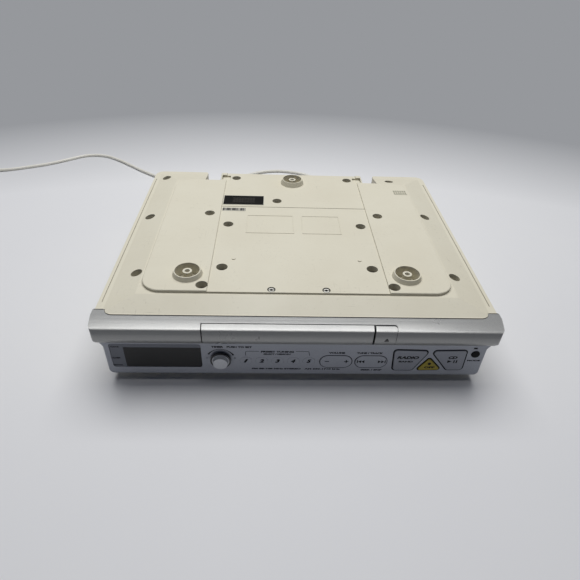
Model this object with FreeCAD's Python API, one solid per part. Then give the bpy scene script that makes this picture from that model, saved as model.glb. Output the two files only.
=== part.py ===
import FreeCAD, Part
import math
import os

V = FreeCAD.Vector

# Overall sizes in millimetres: X right, Y back, Z up, origin on the table under the middle of the case
bar_half = 153.0
depth = 258.0
plateau_height = 75.0
nose = -depth / 2

# Clearances shared by all pieces
overrun = 2.0
seated_gap = 0.02
running_gap = 0.05
sliding_gap = 0.4
seam_gap = 0.3

# Top cover: runs are measured back from the nose of the bar, drops down from the plateau
cover_side_inset = 1.5
cover_wall = 2.5
cover_front_run = 10.5
bar_return = 9.0
cover_front_radius = 6.0
cover_side_run = 16.5
seam_height = 52.0
rim_drop = 8.0
ear_width = 57.5
ear_radius = 9.0
notch_depth = 34.0
notch_width = 17.0
tab_setback = 17.0
back_radius = 2.0
rim_height = plateau_height - rim_drop
cover_half = bar_half - cover_side_inset
cover_front_half = bar_half - bar_return
ear_half = cover_half - ear_width
tab_half = ear_half - notch_width
notch_run = depth - notch_depth
tab_run = depth - tab_setback

# Sloping bands between the rim and the plateau
rim_width = 6.0
band_width = 21.5
band_front_run = 12.0
band_inner_front_run = 28.3
band_back_setback = 6.0
band_back_width = 27.0
band_top_drop = 2.5
band_outer_half = cover_half - rim_width
band_inner_half = band_outer_half - band_width
band_back_run = depth - band_back_setback
band_inner_back_run = band_back_run - band_back_width

# Plateau and its lowered middle
plateau_inset = 2.0
plateau_radius = 16.0
plateau_edge_radius = 0.8
middle_half = 70.7
middle_step = 1.0
cross_line_setback = 92.4
cross_line_width = 0.8
cross_line_depth = 0.4
groove_inset = 3.0
groove_width = 0.8
groove_depth = 0.6
groove_front_run = 25.0
groove_back_setback = 20.0
rear_pocket_inset = 6.0
rear_pocket_setback = 28.5
rear_pocket_length = 9.0
rear_pocket_width = 11.5
rear_pocket_depth = 1.6
raised_line = 0.8
raised_height = 0.3
raised_length = 32.5
raised_setback = 109.0
raised_left_outer = 45.0
raised_left_inner = 1.0
raised_right_inner = 6.5
raised_right_outer = 42.6
bump_half = 52.9
bump_run = 74.9
bump_radius = 1.6
bump_height = 0.6
plateau_half = band_inner_half - plateau_inset
plateau_front_run = band_inner_front_run + plateau_inset
plateau_back_run = band_inner_back_run - plateau_inset
cross_line_run = depth - cross_line_setback
groove_half = cover_half - groove_inset
groove_back_run = depth - groove_back_setback
rear_pocket_run = depth - rear_pocket_setback
rear_pocket_half = tab_half - rear_pocket_inset
raised_back_run = depth - raised_setback
raised_front_run = raised_back_run - raised_length

# Mounting cups with threaded inserts
cup_side_inset = 34.3
cup_front_run = 51.5
cup_rear_setback = 37.0
cup_height = 3.8
cup_well_depth = 7.0
cup_floor = 2.0
cup_base_radius = 12.2
cup_top_radius = 10.6
cup_bore_radius = 9.8
cup_boss_radius = 3.7
cup_boss_drop = 0.8
insert_radius = 2.5
insert_bore_radius = 2.1
insert_length = 9.0
cup_front_half = plateau_half - cup_side_inset
cup_rear_run = depth - cup_rear_setback

# Screws and their recesses in the top cover
recess_radius = 4.7
recess_wall = 1.5
recess_floor = 2.0
deep_tube_height = 58.0
screw_head_radius = 3.2
screw_head_height = 2.2
screw_radius = 1.5
screw_slot = 1.0
screw_slot_depth = 0.8
pilot_depth = 12.0
post_radius = 3.0
mid_screw_half = 80.6
mid_screw_setback = 108.0
rear_screw_inset = 16.8
rear_screw_setback = 28.0
side_screw_inset = 22.0
side_screw_run = 57.0
left_screw_inset = 13.5
left_screw_setback = 107.0
right_screw_inset = 21.8
right_screw_setback = 101.0
left_ear_screw_inset = 14.5
left_ear_screw_setback = 21.0
right_ear_screw_inset = 42.0
right_ear_screw_setback = 19.0
front_screw_half = 75.1
front_screw_run = 37.6
drive_screw_half = 61.7
drive_front_screw_run = 62.9
drive_rear_screw_run = 131.5
tail_screw_left = 16.4
tail_screw_setback = 79.0
bar_screw_half = 21.3
bar_screw_run = 33.9
bar_recess_radius = 3.2
bar_recess_depth = 2.0
bar_boss_radius = 4.5
bar_head_radius = 2.7
bar_head_height = 1.6
mid_screw_run = depth - mid_screw_setback
rear_screw_run = depth - rear_screw_setback
rear_screw_half = tab_half - rear_screw_inset
side_screw_half = cover_half - side_screw_inset
left_screw_half = cover_half - left_screw_inset
left_screw_run = depth - left_screw_setback
right_screw_half = cover_half - right_screw_inset
right_screw_run = depth - right_screw_setback
left_ear_screw_half = cover_half - left_ear_screw_inset
left_ear_screw_run = depth - left_ear_screw_setback
right_ear_screw_half = cover_half - right_ear_screw_inset
right_ear_screw_run = depth - right_ear_screw_setback
tail_screw_run = depth - tail_screw_setback

# Front bar
bar_wall = 2.2
bar_crest_run = 6.0
bar_crest_drop = 9.75
bar_edge_run = 1.3
bar_edge_drop = 11.95
bar_face_drop = 14.6
bar_nose_drop = 22.5
bar_foot_drop = 31.0
bar_foot_run = 6.0
bar_brow_run = 0.3
bar_brow_drop = 13.0
bar_chin_run = 1.35
bar_chin_drop = 27.2
bar_corner_radius = 2.5
bar_end_radius = 10.0
bar_flange_run = 18.0
bar_tongue_width = 13.0
bar_tongue_run = 40.0
bay_half = 72.7
tray_seam_run = 5.0
tray_seam_gap = 0.6
tray_left_relief = 0.5
foot_height = plateau_height - bar_foot_drop

# Drawer, its front and its runners
tray_front_left = 72.4
tray_front_right = 55.0
tray_half = 62.9
tray_run = 7.0
tray_floor_height = 55.0
tray_floor = 2.0
tray_rim = 3.0
tray_skirt_height = 49.8
tray_skirt_width = 4.0
tray_body_run = 145.0
tray_tail_setback = 67.0
disc_well_radius = 60.6
disc_centre_run = 72.0
groove_tall = 2.4
groove_deep = 1.8
tray_groove_height = 51.8
front_rib_width = 3.0
front_rib_count = 4
tray_tail_run = depth - tray_tail_setback
tray_middle = (tray_front_right - tray_front_left) / 2
tray_top = tray_floor_height + tray_floor + tray_rim
disc_centre = nose + disc_centre_run

# Pickup, turntable and motor that ride on the drawer
window_half = 20.0
window_front_run = 86.0
window_back_run = 138.5
pickup_half = 17.0
pickup_length = 18.0
pickup_start_gap = 1.5
pickup_bottom_height = 50.4
pickup_top_height = 55.6
lens_radius = 3.5
lens_height = 1.2
guide_half = 14.0
guide_radius = 1.25
guide_height = 52.7
guide_block = 6.0
guide_block_length = 4.0
motor_radius = 12.0
motor_height = 5.4
motor_floor = 0.9
turntable_radius = 13.0
turntable_thickness = 0.8
hub_radius = 7.3
hub_top_radius = 6.6
hub_height = 2.2
spindle_radius = 1.0
spindle_hole_radius = 2.0

# Frame that carries the drawer under the top cover
frame_plate_height = 63.0
frame_sheet = 1.5
frame_wall = 1.6
frame_right_half = 66.5
frame_front_run = 43.0
frame_back_setback = 65.0
frame_bottom_height = 49.0
frame_tab_left = 50.0
frame_tab_run = 25.0
frame_back_run = depth - frame_back_setback

# Open button and the latch that it works
open_left = 56.5
open_travel = 0.8
open_corner_radius = 2.0
open_stem_x = 67.0
open_stem_height = 57.2
open_stem_radius = 2.0
open_stem_run = 30.5
open_collar_radius = 3.4
open_collar = 1.2
open_bracket_left = 60.0
open_bracket_run = 14.0
open_bracket = 2.0
open_bracket_height = 50.0
latch_x = 57.5
latch_run = 32.0
latch_hub_radius = 3.3
latch_pin_radius = 1.5
latch_pin_collar_radius = 2.6
latch_height = 56.0
latch_thickness = 2.5
latch_arm = 2.4
latch_hook_run = 15.0
latch_hook_length = 3.0
latch_hook_tip = 0.9
latch_notch_depth = 1.3
latch_pad_reach = 12.0

# Front panel and its keys; heights are measured up from the table
panel_side_inset = 4.2
panel_bottom = 9.0
panel_wall = 2.5
panel_bottom_radius = 4.0
panel_flare = 3.2
panel_flare_tall = 5.2
panel_flare_radius = 3.0
panel_edge_radius = 1.5
panel_boss_radius = 2.5
panel_boss_pilot = 0.9
board_gap = 12.0
boss_low_height = 14.4
boss_top_margin = 3.4
boss_left = 70.8
boss_middle = 14.0
boss_right = 73.4
window_side_inset = 4.8
window_right = 75.0
window_bottom = 17.0
window_top = 41.8
window_radius = 2.0
window_recess = 0.3
lcd_side_inset = 11.0
lcd_bottom = 18.0
lcd_top = 39.0
lcd_thickness = 2.8
preset_first = 40.5
preset_pitch = 12.4
preset_height = 24.4
preset_length = 9.6
preset_tall = 7.6
preset_radius = 3.6
preset_count = 5
rocker_length = 24.8
rocker_tall = 12.5
rocker_height = 24.7
volume_x = 30.5
tune_x = 58.5
rocker_gap = 0.35
rocker_proud = 0.4
rocker_pad_half = 8.6
rocker_pin_radius = 1.0
rocker_pin_gap = 3.0
rocker_lug_width = 5.0
rocker_lug = 2.4
rocker_hub_tall = 6.0
keys_left = 75.6
keys_side_inset = 15.5
keys_bottom = 15.6
keys_top = 37.6
keys_radius = 2.4
radio_shares = ((0, 1), (0.475, 0.97), (0.293, 0), (0.03, 0))
cd_shares = ((0.51, 0.97), (0.99, 1), (1, 0.035), (0.787, 0.03))
off_shares = ((0.506, 0.6), (0.369, 0.01), (0.695, 0.03))
off_radius = 1.2
bezel_width = 1.2
mode_side_inset = 8.3
mode_height = 33.6
mode_radius = 3.3
key_gap = 0.2
key_proud = 0.6
preset_proud = 0.05
preset_gap = 0.1
key_flange = 1.2
key_flange_margin = 0.7
key_stem_radius = 2.0
key_travel = 1.0
switch_side = 6.0
switch_body = 3.5
switch_plunger_radius = 1.6
switch_plunger = 1.0
boss_high_height = foot_height - boss_top_margin
panel_half = bar_half - panel_side_inset
window_left = panel_half - window_side_inset
lcd_left = window_left - lcd_side_inset
keys_right = panel_half - keys_side_inset
mode_x = panel_half - mode_side_inset
panel_front = nose + bar_foot_run
panel_back = panel_front + panel_wall
board_front = panel_back + board_gap

# Timer knob and its encoder
knob_x = 60.0
knob_height = 26.2
knob_radius = 6.2
knob_tip_radius = 5.6
knob_skirt_radius = 8.0
knob_skirt = 1.2
knob_proud = 5.6
knob_floor = 1.2
knob_hole_radius = 4.4
shaft_radius = 3.0
encoder_side = 12.0
encoder_depth = 6.5
bushing_radius = 4.0
bushing_length = 3.5
plunger_radius = 2.6
plunger_length = 0.8
encoder_floor = 0.8

# Control board
control_left_inset = 3.8
control_right_inset = 3.3
control_bottom = 11.8
control_top_margin = 0.8
board_sheet = 1.6
board_screw_radius = 0.85
board_head_radius = 2.2
board_head_height = 1.5
board_screw_length = 6.0
control_top = foot_height - control_top_margin
control_left = panel_half - control_left_inset
control_right = panel_half - control_right_inset

# Bottom cover
bottom_side_inset = 4.0
bottom_wall = 2.5
base_height = 9.0
base_low_inset = 11.0
base_high_inset = 3.0
base_low_front_run = 25.0
base_high_front_run = 13.0
base_low_setback = 46.0
base_high_setback = 37.0
bottom_front_step = 0.4
bottom_half = bar_half - bottom_side_inset
base_low_half = bottom_half - base_low_inset
base_high_half = bottom_half - base_high_inset
base_low_back_run = depth - base_low_setback
base_high_back_run = depth - base_high_setback

# Speakers behind the grilles in the base
speaker_side_inset = 40.0
speaker_setback = 142.0
speaker_radius = 30.0
speaker_lip = 6.0
speaker_sheet = 1.5
speaker_throat_radius = 17.5
speaker_depth = 18.0
cone_edge = 2.0
cone_sheet = 0.7
cone_depth = 11.0
cone_cap_radius = 8.6
magnet_radius = 17.0
magnet_height = 10.0
grille_radius = 23.5
grille_slot = 2.4
grille_pitch = 5.2
speaker_half = base_low_half - speaker_side_inset
speaker_run = depth - speaker_setback

# Main board, power pieces and the pieces on the board
main_left_gap = 46.0
main_right_gap = 50.0
main_front_run = 54.0
main_back_setback = 53.0
main_height = 8.0
main_corner = 6.0
standoff_radius = 3.0
tuner_inset = 22.0
tuner_run = 78.0
tuner_length = 34.0
tuner_width = 26.0
tuner_tall = 13.0
capacitor_inset = 28.0
capacitor_setback = 40.0
capacitor_pitch = 15.0
capacitor_radius = 6.3
capacitor_tall = 25.0
heat_sink_inset = 27.0
heat_sink_setback = 25.0
heat_sink_length = 40.0
heat_sink_depth = 12.0
heat_sink_tall = 28.0
heat_sink_fin = 2.0
heat_sink_fins = 6
transformer_inset = 46.0
transformer_setback = 66.0
transformer_width = 48.0
transformer_stack = 20.0
transformer_tall = 40.0
transformer_leg = 8.0
coil_overhang = 8.0
main_left = speaker_half - main_left_gap
main_right = speaker_half - main_right_gap
main_back_run = depth - main_back_setback
tuner_x = tuner_inset - main_left
capacitor_x = main_right - capacitor_inset
capacitor_run = main_back_run - capacitor_setback
heat_sink_x = heat_sink_inset - main_left
heat_sink_run = main_back_run - heat_sink_setback
transformer_x = base_low_half - transformer_inset
transformer_run = depth - transformer_setback

# Labels on the lowered middle of the top cover
label_left = 70.2
label_right = 29.3
label_front_setback = 89.0
label_back_setback = 69.0
label_sheet = 0.2
sticker_left = 69.5
sticker_right = 47.0
sticker_front_setback = 101.5
sticker_back_setback = 95.0
label_front_run = depth - label_front_setback
label_back_run = depth - label_back_setback
sticker_front_run = depth - sticker_front_setback
sticker_back_run = depth - sticker_back_setback

# Mains lead, its strain relief, coil, tie and plug
lead_diameter = 4.0
lead_x = 45.0
lead_height = 28.0
relief_radius = 4.6
relief_tip_radius = 2.8
relief_length = 30.0
relief_flange_radius = 6.5
relief_flange = 1.6
arc_share = 0.45
quarter_share = 0.25
lead_last_run = 20.0
lead_fall = ((45.0, 158.0, 28.0), (46.0, 180.0, 18.5), (48.0, 202.0, 6.0))
lead_on_table = (
    (50.0, 224.0), (48.0, 248.0), (35.0, 268.0), (12.0, 280.0), (-15.0, 284.0), (-41.0, 277.0), (-64.0, 261.0),
    (-89.0, 244.0), (-117.0, 234.0), (-146.0, 234.0), (-172.0, 245.0), (-198.0, 263.0), (-224.0, 285.0),
    (-249.0, 307.0), (-276.0, 325.0), (-304.0, 324.0), (-326.0, 305.0), (-348.0, 288.0), (-372.0, 276.0),
    (-396.0, 265.0))
coil_x = -440.0
coil_y = 228.0
coil_inner_radius = 16.0
coil_pitch = 4.6
coil_low_turns = 3.25
coil_high_turns = 3.5
coil_end_run = 24.0
tie_sheet = 0.8
tie_gap = 0.5
tie_width = 5.0
tie_angle = 300.0
plug_width = 24.0
plug_length = 30.0
plug_radius = 4.0
plug_neck_radius = 3.6
plug_neck = 8.0
blade_pitch = 12.7
blade_width = 6.3
blade_sheet = 1.5
blade_length = 17.0


def back(run):
    return nose + run


def down(drop):
    return plateau_height - drop


def about(middle, size):
    """The low and high ends of a span of the given size about its middle."""
    return (middle - size / 2, middle + size / 2)


def box(x, y, z):
    """A block between the low and high ends of a span on each axis."""
    return Part.makeBox(x[1] - x[0], y[1] - y[0], z[1] - z[0], V(x[0], y[0], z[0]))


def upright(radius, x, y, z):
    return Part.makeCylinder(radius, z[1] - z[0], V(x, y, z[0]))


def inward(radius, x, z, y):
    return Part.makeCylinder(radius, y[1] - y[0], V(x, y[0], z), V(0, 1, 0))


def joined(*shapes):
    return shapes[0].fuse(list(shapes[1:])).removeSplitter()


def rounded(u, v, radius):
    """The corners of a rectangle, each with the same radius."""
    return [(u[0], v[0], radius), (u[1], v[0], radius), (u[1], v[1], radius), (u[0], v[1], radius)]


def outline(corners, place):
    """A closed wire through flat corners (u, v, radius), where place puts u and v in space."""
    flat = [V(u, v, 0) for u, v, _ in corners]
    ends = []
    for i, (_, _, radius) in enumerate(corners):
        to_before = (flat[i - 1] - flat[i]).normalize()
        to_after = (flat[(i + 1) % len(flat)] - flat[i]).normalize()
        half = to_before.getAngle(to_after) / 2
        reach = radius / math.tan(half)
        middle_way = (to_before + to_after).normalize()
        tip = flat[i] + middle_way * (radius / math.sin(half) - radius)
        ends.append((flat[i] + to_before * reach, tip, flat[i] + to_after * reach))
    edges = []
    for i, (start, tip, end) in enumerate(ends):
        start, tip, end = (place(p.x, p.y) for p in (start, tip, end))
        following = place(ends[(i + 1) % len(ends)][0].x, ends[(i + 1) % len(ends)][0].y)
        if corners[i][2]:
            edges.append(Part.Arc(start, tip, end).toShape())
        if (following - end).Length > seated_gap / 2:
            edges.append(Part.LineSegment(end, following).toShape())
    return Part.Wire(edges)


def plan(corners, z):
    """A solid with the given outline seen from above."""
    wire = outline(corners, lambda u, v: V(u, v, z[0]))
    return Part.Face(wire).extrude(V(0, 0, z[1] - z[0]))


def facing(corners, y, grow=0):
    """A solid with the given outline seen from the front, grown on all sides."""
    wire = outline(corners, lambda u, v: V(u, y[0], v))
    if grow:
        wire = wire.makeOffset2D(grow)
    return Part.Face(wire).extrude(V(0, y[1] - y[0], 0))


def turned(profile, x, y, z):
    """A solid of revolution about an upright axis, from (radius, height) corners."""
    points = [V(radius, 0, height) for radius, height in profile]
    face = Part.Face(Part.makePolygon(points + points[:1]))
    solid = face.revolve(V(0, 0, 0), V(0, 0, 1), 360)
    solid.translate(V(x, y, z))
    return solid


def hip(low, low_height, high, high_height):
    """A block with four sloping sides, between a low and a high rectangle (x, y)."""
    wires = []
    for (x, y), height in ((low, low_height), (high, high_height)):
        points = [V(x[0], y[0], height), V(x[1], y[0], height), V(x[1], y[1], height), V(x[0], y[1], height)]
        wires.append(Part.makePolygon(points + points[:1]))
    return Part.makeLoft(wires, True, True)


def mirrored(right):
    """Corners of the right half, front to back, then their mirror images, back to front."""
    return right + [(-x, y, radius) for x, y, radius in reversed(right)]


def case_corners(half, inset, front):
    """The case seen from above, with its ears, notches and tab, inset on all sides."""
    return mirrored([
        (half - inset, front, 0),
        (half - inset, depth / 2 - inset, ear_radius),
        (ear_half + inset, depth / 2 - inset, back_radius),
        (ear_half + inset, back(notch_run) - inset, back_radius),
        (tab_half - inset, back(notch_run) - inset, back_radius),
        (tab_half - inset, back(tab_run) - inset, back_radius),
    ])


def cover_corners(inset, front):
    """The top cover seen from above: the case with the bar's returns cut out of its front corners."""
    side = back(cover_side_run) + inset
    front_corners = [
        (cover_front_half - inset, front, 0 if inset else cover_front_radius),
        (cover_front_half - inset, side, 0),
        (cover_half - inset, side, 0),
    ]
    right = front_corners + case_corners(cover_half, inset, front)[1:6]
    return mirrored(right)


cup_places = [(-cup_front_half, back(cup_front_run)), (cup_front_half, back(cup_front_run)),
              (0, back(cup_rear_run))]
deep_places = [(-mid_screw_half, back(mid_screw_run)), (mid_screw_half, back(mid_screw_run)),
               (-rear_screw_half, back(rear_screw_run)), (rear_screw_half, back(rear_screw_run)),
               (-side_screw_half, back(side_screw_run)), (side_screw_half, back(side_screw_run)),
               (-left_screw_half, back(left_screw_run)), (right_screw_half, back(right_screw_run)),
               (-left_ear_screw_half, back(left_ear_screw_run)),
               (right_ear_screw_half, back(right_ear_screw_run))]
front_places = [(-front_screw_half, back(front_screw_run)), (front_screw_half, back(front_screw_run))]
drive_places = [(-drive_screw_half, back(drive_front_screw_run)), (drive_screw_half, back(drive_front_screw_run)),
                (-drive_screw_half, back(drive_rear_screw_run)), (drive_screw_half, back(drive_rear_screw_run)),
                (-tail_screw_left, back(tail_screw_run))]
bar_places = [(-bar_screw_half, back(bar_screw_run)), (bar_screw_half, back(bar_screw_run))]
frame_top = frame_plate_height + frame_sheet
recesses = [(x, y, deep_tube_height) for x, y in deep_places]
recesses += [(x, y, frame_top) for x, y in front_places + drive_places]
ceiling = down(band_top_drop + cover_wall)
flange_top = rim_height - cover_wall
flange_bottom = flange_top - bar_wall


def raised_frame(left, right):
    """A raised rectangular line on the lowered middle of the top cover."""
    z = (down(middle_step) - raised_height, down(middle_step) + raised_height)
    outer = box((left, right), (back(raised_front_run), back(raised_back_run)), z)
    inner = box((left + raised_line, right - raised_line),
                (back(raised_front_run) + raised_line, back(raised_back_run) - raised_line),
                (z[0] - overrun, z[1] + overrun))
    return outer.cut(inner)


def top_cover():
    whole = plan(cover_corners(0, back(cover_front_run)), (seam_height, plateau_height))
    slab = plan(cover_corners(0, back(cover_front_run)), (seam_height, rim_height))
    bands = hip(((-band_outer_half, band_outer_half), (back(band_front_run), back(band_back_run))), rim_height,
                ((-band_inner_half, band_inner_half), (back(band_inner_front_run), back(band_inner_back_run))),
                down(band_top_drop))
    plateau = plan(mirrored([
        (plateau_half, back(plateau_front_run), plateau_radius),
        (plateau_half, back(plateau_back_run), plateau_radius),
        (tab_half, back(plateau_back_run), 0),
        (tab_half, back(tab_run), back_radius),
    ]), (rim_height, plateau_height))
    top_edges = [e for e in plateau.Edges if e.BoundBox.ZMin > plateau_height - overrun / 2]
    plateau = plateau.makeFillet(plateau_edge_radius, top_edges)
    outer = joined(slab, bands.common(whole), plateau)
    inside = plan(cover_corners(cover_wall, back(cover_front_run) - overrun),
                  (seam_height - overrun, plateau_height))
    room = bands.translated(V(0, 0, -cover_wall)).common(inside)
    room = joined(room, plan(cover_corners(cover_wall, back(cover_front_run) - overrun),
                             (seam_height - overrun, flange_top)))
    shell = outer.cut(room)
    middle = box((-middle_half, middle_half), (back(plateau_front_run) - overrun, back(tab_run) + overrun),
                 (down(middle_step), plateau_height + overrun))
    cross = box((-middle_half, middle_half), about(back(cross_line_run), cross_line_width),
                (down(middle_step + cross_line_depth), plateau_height))
    shell = shell.cut([middle, cross])
    added = []
    for x, y, height in recesses:
        tube = upright(recess_radius + recess_wall, x, y, (height, plateau_height))
        added.append(tube.common(outer.cut([middle])) if height < ceiling else tube)
    for x, y in bar_places:
        added.append(upright(bar_boss_radius, x, y, (flange_top, ceiling + overrun / 2)))
    for x, y in cup_places:
        base = ceiling - insert_length + cup_height
        added.append(Part.makeCone(cup_base_radius, cup_top_radius, cup_height + middle_step,
                                   V(x, y, down(middle_step))))
        added.append(upright(insert_radius + recess_wall, x, y, (base, plateau_height - middle_step)))
        added.append(upright(cup_bore_radius + recess_wall, x, y,
                             (down(cup_well_depth + cup_floor), plateau_height - middle_step)))
    for side in (-1, 1):
        added.append(upright(bump_radius, side * bump_half, back(bump_run),
                             (down(middle_step), down(middle_step) + bump_height)))
    added.append(raised_frame(-raised_left_outer, -raised_left_inner))
    added.append(raised_frame(raised_right_inner, raised_right_outer))
    shell = joined(shell, *added)
    holes = []
    for x, y, height in recesses:
        holes.append(upright(recess_radius, x, y, (height + recess_floor, plateau_height + overrun)))
        holes.append(upright(screw_radius + running_gap, x, y, (height - overrun, plateau_height)))
    for x, y in bar_places:
        holes.append(upright(bar_recess_radius, x, y,
                             (down(middle_step + bar_recess_depth), plateau_height + overrun)))
        holes.append(upright(board_screw_radius + running_gap, x, y, (flange_top - overrun, plateau_height)))
    top = plateau_height + cup_height
    for x, y in cup_places:
        ring = upright(cup_bore_radius, x, y, (down(cup_well_depth), top + overrun))
        boss = upright(cup_boss_radius, x, y, (down(cup_well_depth), top - cup_boss_drop))
        holes.append(ring.cut(boss))
        holes.append(upright(insert_radius + seated_gap, x, y, (top - cup_boss_drop - insert_length, top)))
    for side in (-1, 1):
        holes.append(box(about(side * rear_pocket_half, rear_pocket_length),
                         about(back(rear_pocket_run), rear_pocket_width),
                         (down(middle_step + rear_pocket_depth), plateau_height + overrun)))
        holes.append(box(about(side * groove_half, groove_width),
                         (back(groove_front_run), back(groove_back_run)),
                         (rim_height - groove_depth, rim_height + overrun)))
    return shell.cut(holes)


def mount_inserts():
    top = plateau_height + cup_height - cup_boss_drop
    z = (top - insert_length, top)
    tubes = [upright(insert_radius, x, y, z).cut(
        upright(insert_bore_radius, x, y, (z[0] - overrun, z[1] + overrun))) for x, y in cup_places]
    return Part.makeCompound(tubes)


def slotted_screw(x, y, seat, length, radius, head_radius, head_height):
    """A screw whose slotted head sits on the height seat, with its shank pointing down."""
    head = upright(head_radius, x, y, (seat, seat + head_height))
    shank = upright(radius, x, y, (seat - length, seat))
    slot = box(about(x, 2 * head_radius + overrun), about(y, screw_slot),
               (seat + head_height - screw_slot_depth, seat + head_height + overrun))
    return joined(head, shank).cut(slot)


def case_screws():
    length = recess_floor + pilot_depth - overrun
    return Part.makeCompound([
        slotted_screw(x, y, height + recess_floor, length, screw_radius, screw_head_radius, screw_head_height)
        for x, y, height in recesses if (x, y) not in drive_places])


def drive_screws():
    length = recess_floor + frame_sheet
    return Part.makeCompound([
        slotted_screw(x, y, frame_top + recess_floor, length, screw_radius, screw_head_radius, screw_head_height)
        for x, y in drive_places])


def bar_screws():
    seat = down(middle_step + bar_recess_depth)
    return Part.makeCompound([
        slotted_screw(x, y, seat, seat - flange_bottom, board_screw_radius, bar_head_radius, bar_head_height)
        for x, y in bar_places])


def bar_profile():
    """The bar's closed side view: a long crest, a round brow, an upright face, a chin and a straight back."""
    rim = V(0, back(cover_front_run), rim_height)
    crest = V(0, back(bar_crest_run), down(bar_crest_drop))
    edge = V(0, back(bar_edge_run), down(bar_edge_drop))
    brow = V(0, back(bar_brow_run), down(bar_brow_drop))
    face = V(0, nose, down(bar_face_drop))
    tip = V(0, nose, down(bar_nose_drop))
    chin = V(0, back(bar_chin_run), down(bar_chin_drop))
    foot = V(0, back(bar_foot_run), foot_height)
    heel = V(0, back(cover_front_run), foot_height)
    edges = [Part.Arc(rim, crest, edge), Part.Arc(edge, brow, face), Part.LineSegment(face, tip),
             Part.Arc(tip, chin, foot), Part.LineSegment(foot, heel), Part.LineSegment(heel, rim)]
    return Part.Face(Part.Wire([e.toShape() for e in edges]))


def along_bar(face, x):
    """A side view drawn out between two places along the bar."""
    return face.translated(V(x[0], 0, 0)).extrude(V(x[1] - x[0], 0, 0))


def bar_skin(x, gap, corner):
    """A stretch of the bar's curved front wall that ends the given gap before the seam, with its right corner round."""
    outer = along_bar(bar_profile(), x)
    inner = along_bar(bar_profile().makeOffset2D(-bar_wall), (x[0] - overrun, x[1] + overrun))
    end = back(tray_seam_run) - gap
    limit = plan([(x[0], nose - overrun, 0), (x[1], nose - overrun, 0), (x[1], end, corner), (x[0], end, 0)],
                 (foot_height - overrun, rim_height + overrun))
    return outer.cut(inner).common(limit)


def front_bar():
    full = (-bar_half, bar_half)
    hollow = (-bar_half + bar_wall, bar_half - bar_wall)
    inner_z = (foot_height + bar_wall, rim_height - bar_wall)
    body = along_bar(bar_profile(), full)
    for side in (-1, 1):
        x = sorted((side * (cover_front_half - cover_front_radius), side * bar_half))
        body = joined(body, box(x, (back(cover_front_run), back(cover_side_run)), (foot_height, rim_height)))
    corner = rounded((-cover_front_half, cover_front_half),
                     (back(cover_front_run), back(cover_side_run) + cover_front_half), cover_front_radius)
    body = body.cut(plan(corner, (foot_height - overrun, rim_height + overrun)))
    plan_view = [(-bar_half, nose, bar_corner_radius), (bar_half, nose, bar_corner_radius),
                 (bar_half, back(cover_side_run), 0), (-bar_half, back(cover_side_run), 0)]
    front_view = [(-bar_half, foot_height, bar_end_radius), (bar_half, foot_height, bar_end_radius),
                  (bar_half, rim_height, 0), (-bar_half, rim_height, 0)]
    body = body.common(plan(plan_view, (foot_height, rim_height)))
    body = body.common(facing(front_view, (nose, back(cover_side_run))))
    inset = along_bar(bar_profile().makeOffset2D(-bar_wall), hollow)
    opened = box(hollow, (back(cover_front_run) - bar_wall - seam_gap, back(cover_side_run) + overrun), inner_z)
    shell_plan = [(-bar_half + bar_wall, nose + bar_wall, bar_corner_radius - bar_wall),
                  (bar_half - bar_wall, nose + bar_wall, bar_corner_radius - bar_wall),
                  (bar_half - bar_wall, back(cover_side_run) + overrun, 0),
                  (-bar_half + bar_wall, back(cover_side_run) + overrun, 0)]
    shell_radius = bar_end_radius - bar_wall
    shell_view = [(-bar_half + bar_wall, foot_height + bar_wall, shell_radius),
                  (bar_half - bar_wall, foot_height + bar_wall, shell_radius),
                  (bar_half - bar_wall, rim_height, 0), (-bar_half + bar_wall, rim_height, 0)]
    hollow_solid = joined(inset, opened).common(plan(shell_plan, (foot_height, rim_height)))
    hollow_solid = hollow_solid.common(facing(shell_view, (nose, back(cover_side_run) + overrun)))
    body = body.cut(hollow_solid)
    flange_half = cover_front_half - cover_wall - seam_gap
    flange = box((-flange_half, flange_half), (back(cover_front_run) - bar_wall, back(bar_flange_run)),
                 (flange_bottom, flange_top))
    web = box((-flange_half, flange_half), (back(cover_front_run) - bar_wall, back(cover_front_run)),
              (flange_bottom, rim_height - bar_wall / 2))
    tongues = [box(about(x, bar_tongue_width), (back(cover_front_run), back(bar_tongue_run)),
                   (flange_bottom, flange_top)) for x, _ in bar_places]
    bay = plan([(-bay_half, nose - overrun, 0), (bay_half, nose - overrun, 0),
                (bay_half, back(tray_seam_run), open_corner_radius), (-bay_half, back(tray_seam_run), 0)],
               (foot_height - overrun, rim_height + overrun))
    bay_below = box((-bay_half, bay_half), (nose - overrun, back(bar_flange_run) + overrun),
                    (foot_height - overrun, flange_bottom))
    bracket = box((open_bracket_left, bay_half), (back(open_bracket_run), back(open_bracket_run) + open_bracket),
                  (open_bracket_height, flange_top))
    holes = [upright(board_screw_radius + seated_gap, x, y, (flange_bottom - overrun, flange_top + overrun))
             for x, y in bar_places]
    holes.append(inward(open_stem_radius + running_gap, open_stem_x, open_stem_height,
                        (nose, back(bar_flange_run))))
    return joined(joined(body, flange, web, *tongues).cut([bay, bay_below]), bracket).cut(holes)


def tray_front():
    skin = bar_skin((-tray_front_left + tray_left_relief, tray_front_right), tray_seam_gap, 0)
    inside = along_bar(bar_profile(), (-tray_front_left + tray_left_relief, tray_front_right))
    reach = tray_front_left + tray_front_right - 2 * tray_skirt_width
    step = reach / (front_rib_count - 1)
    ribs = []
    for i in range(front_rib_count):
        x = about(-tray_front_left + tray_skirt_width + i * step, front_rib_width)
        rib = box(x, (nose, back(tray_run)), (tray_skirt_height, tray_top))
        ribs.append(rib.common(inside))
    return joined(skin, *ribs)


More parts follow.
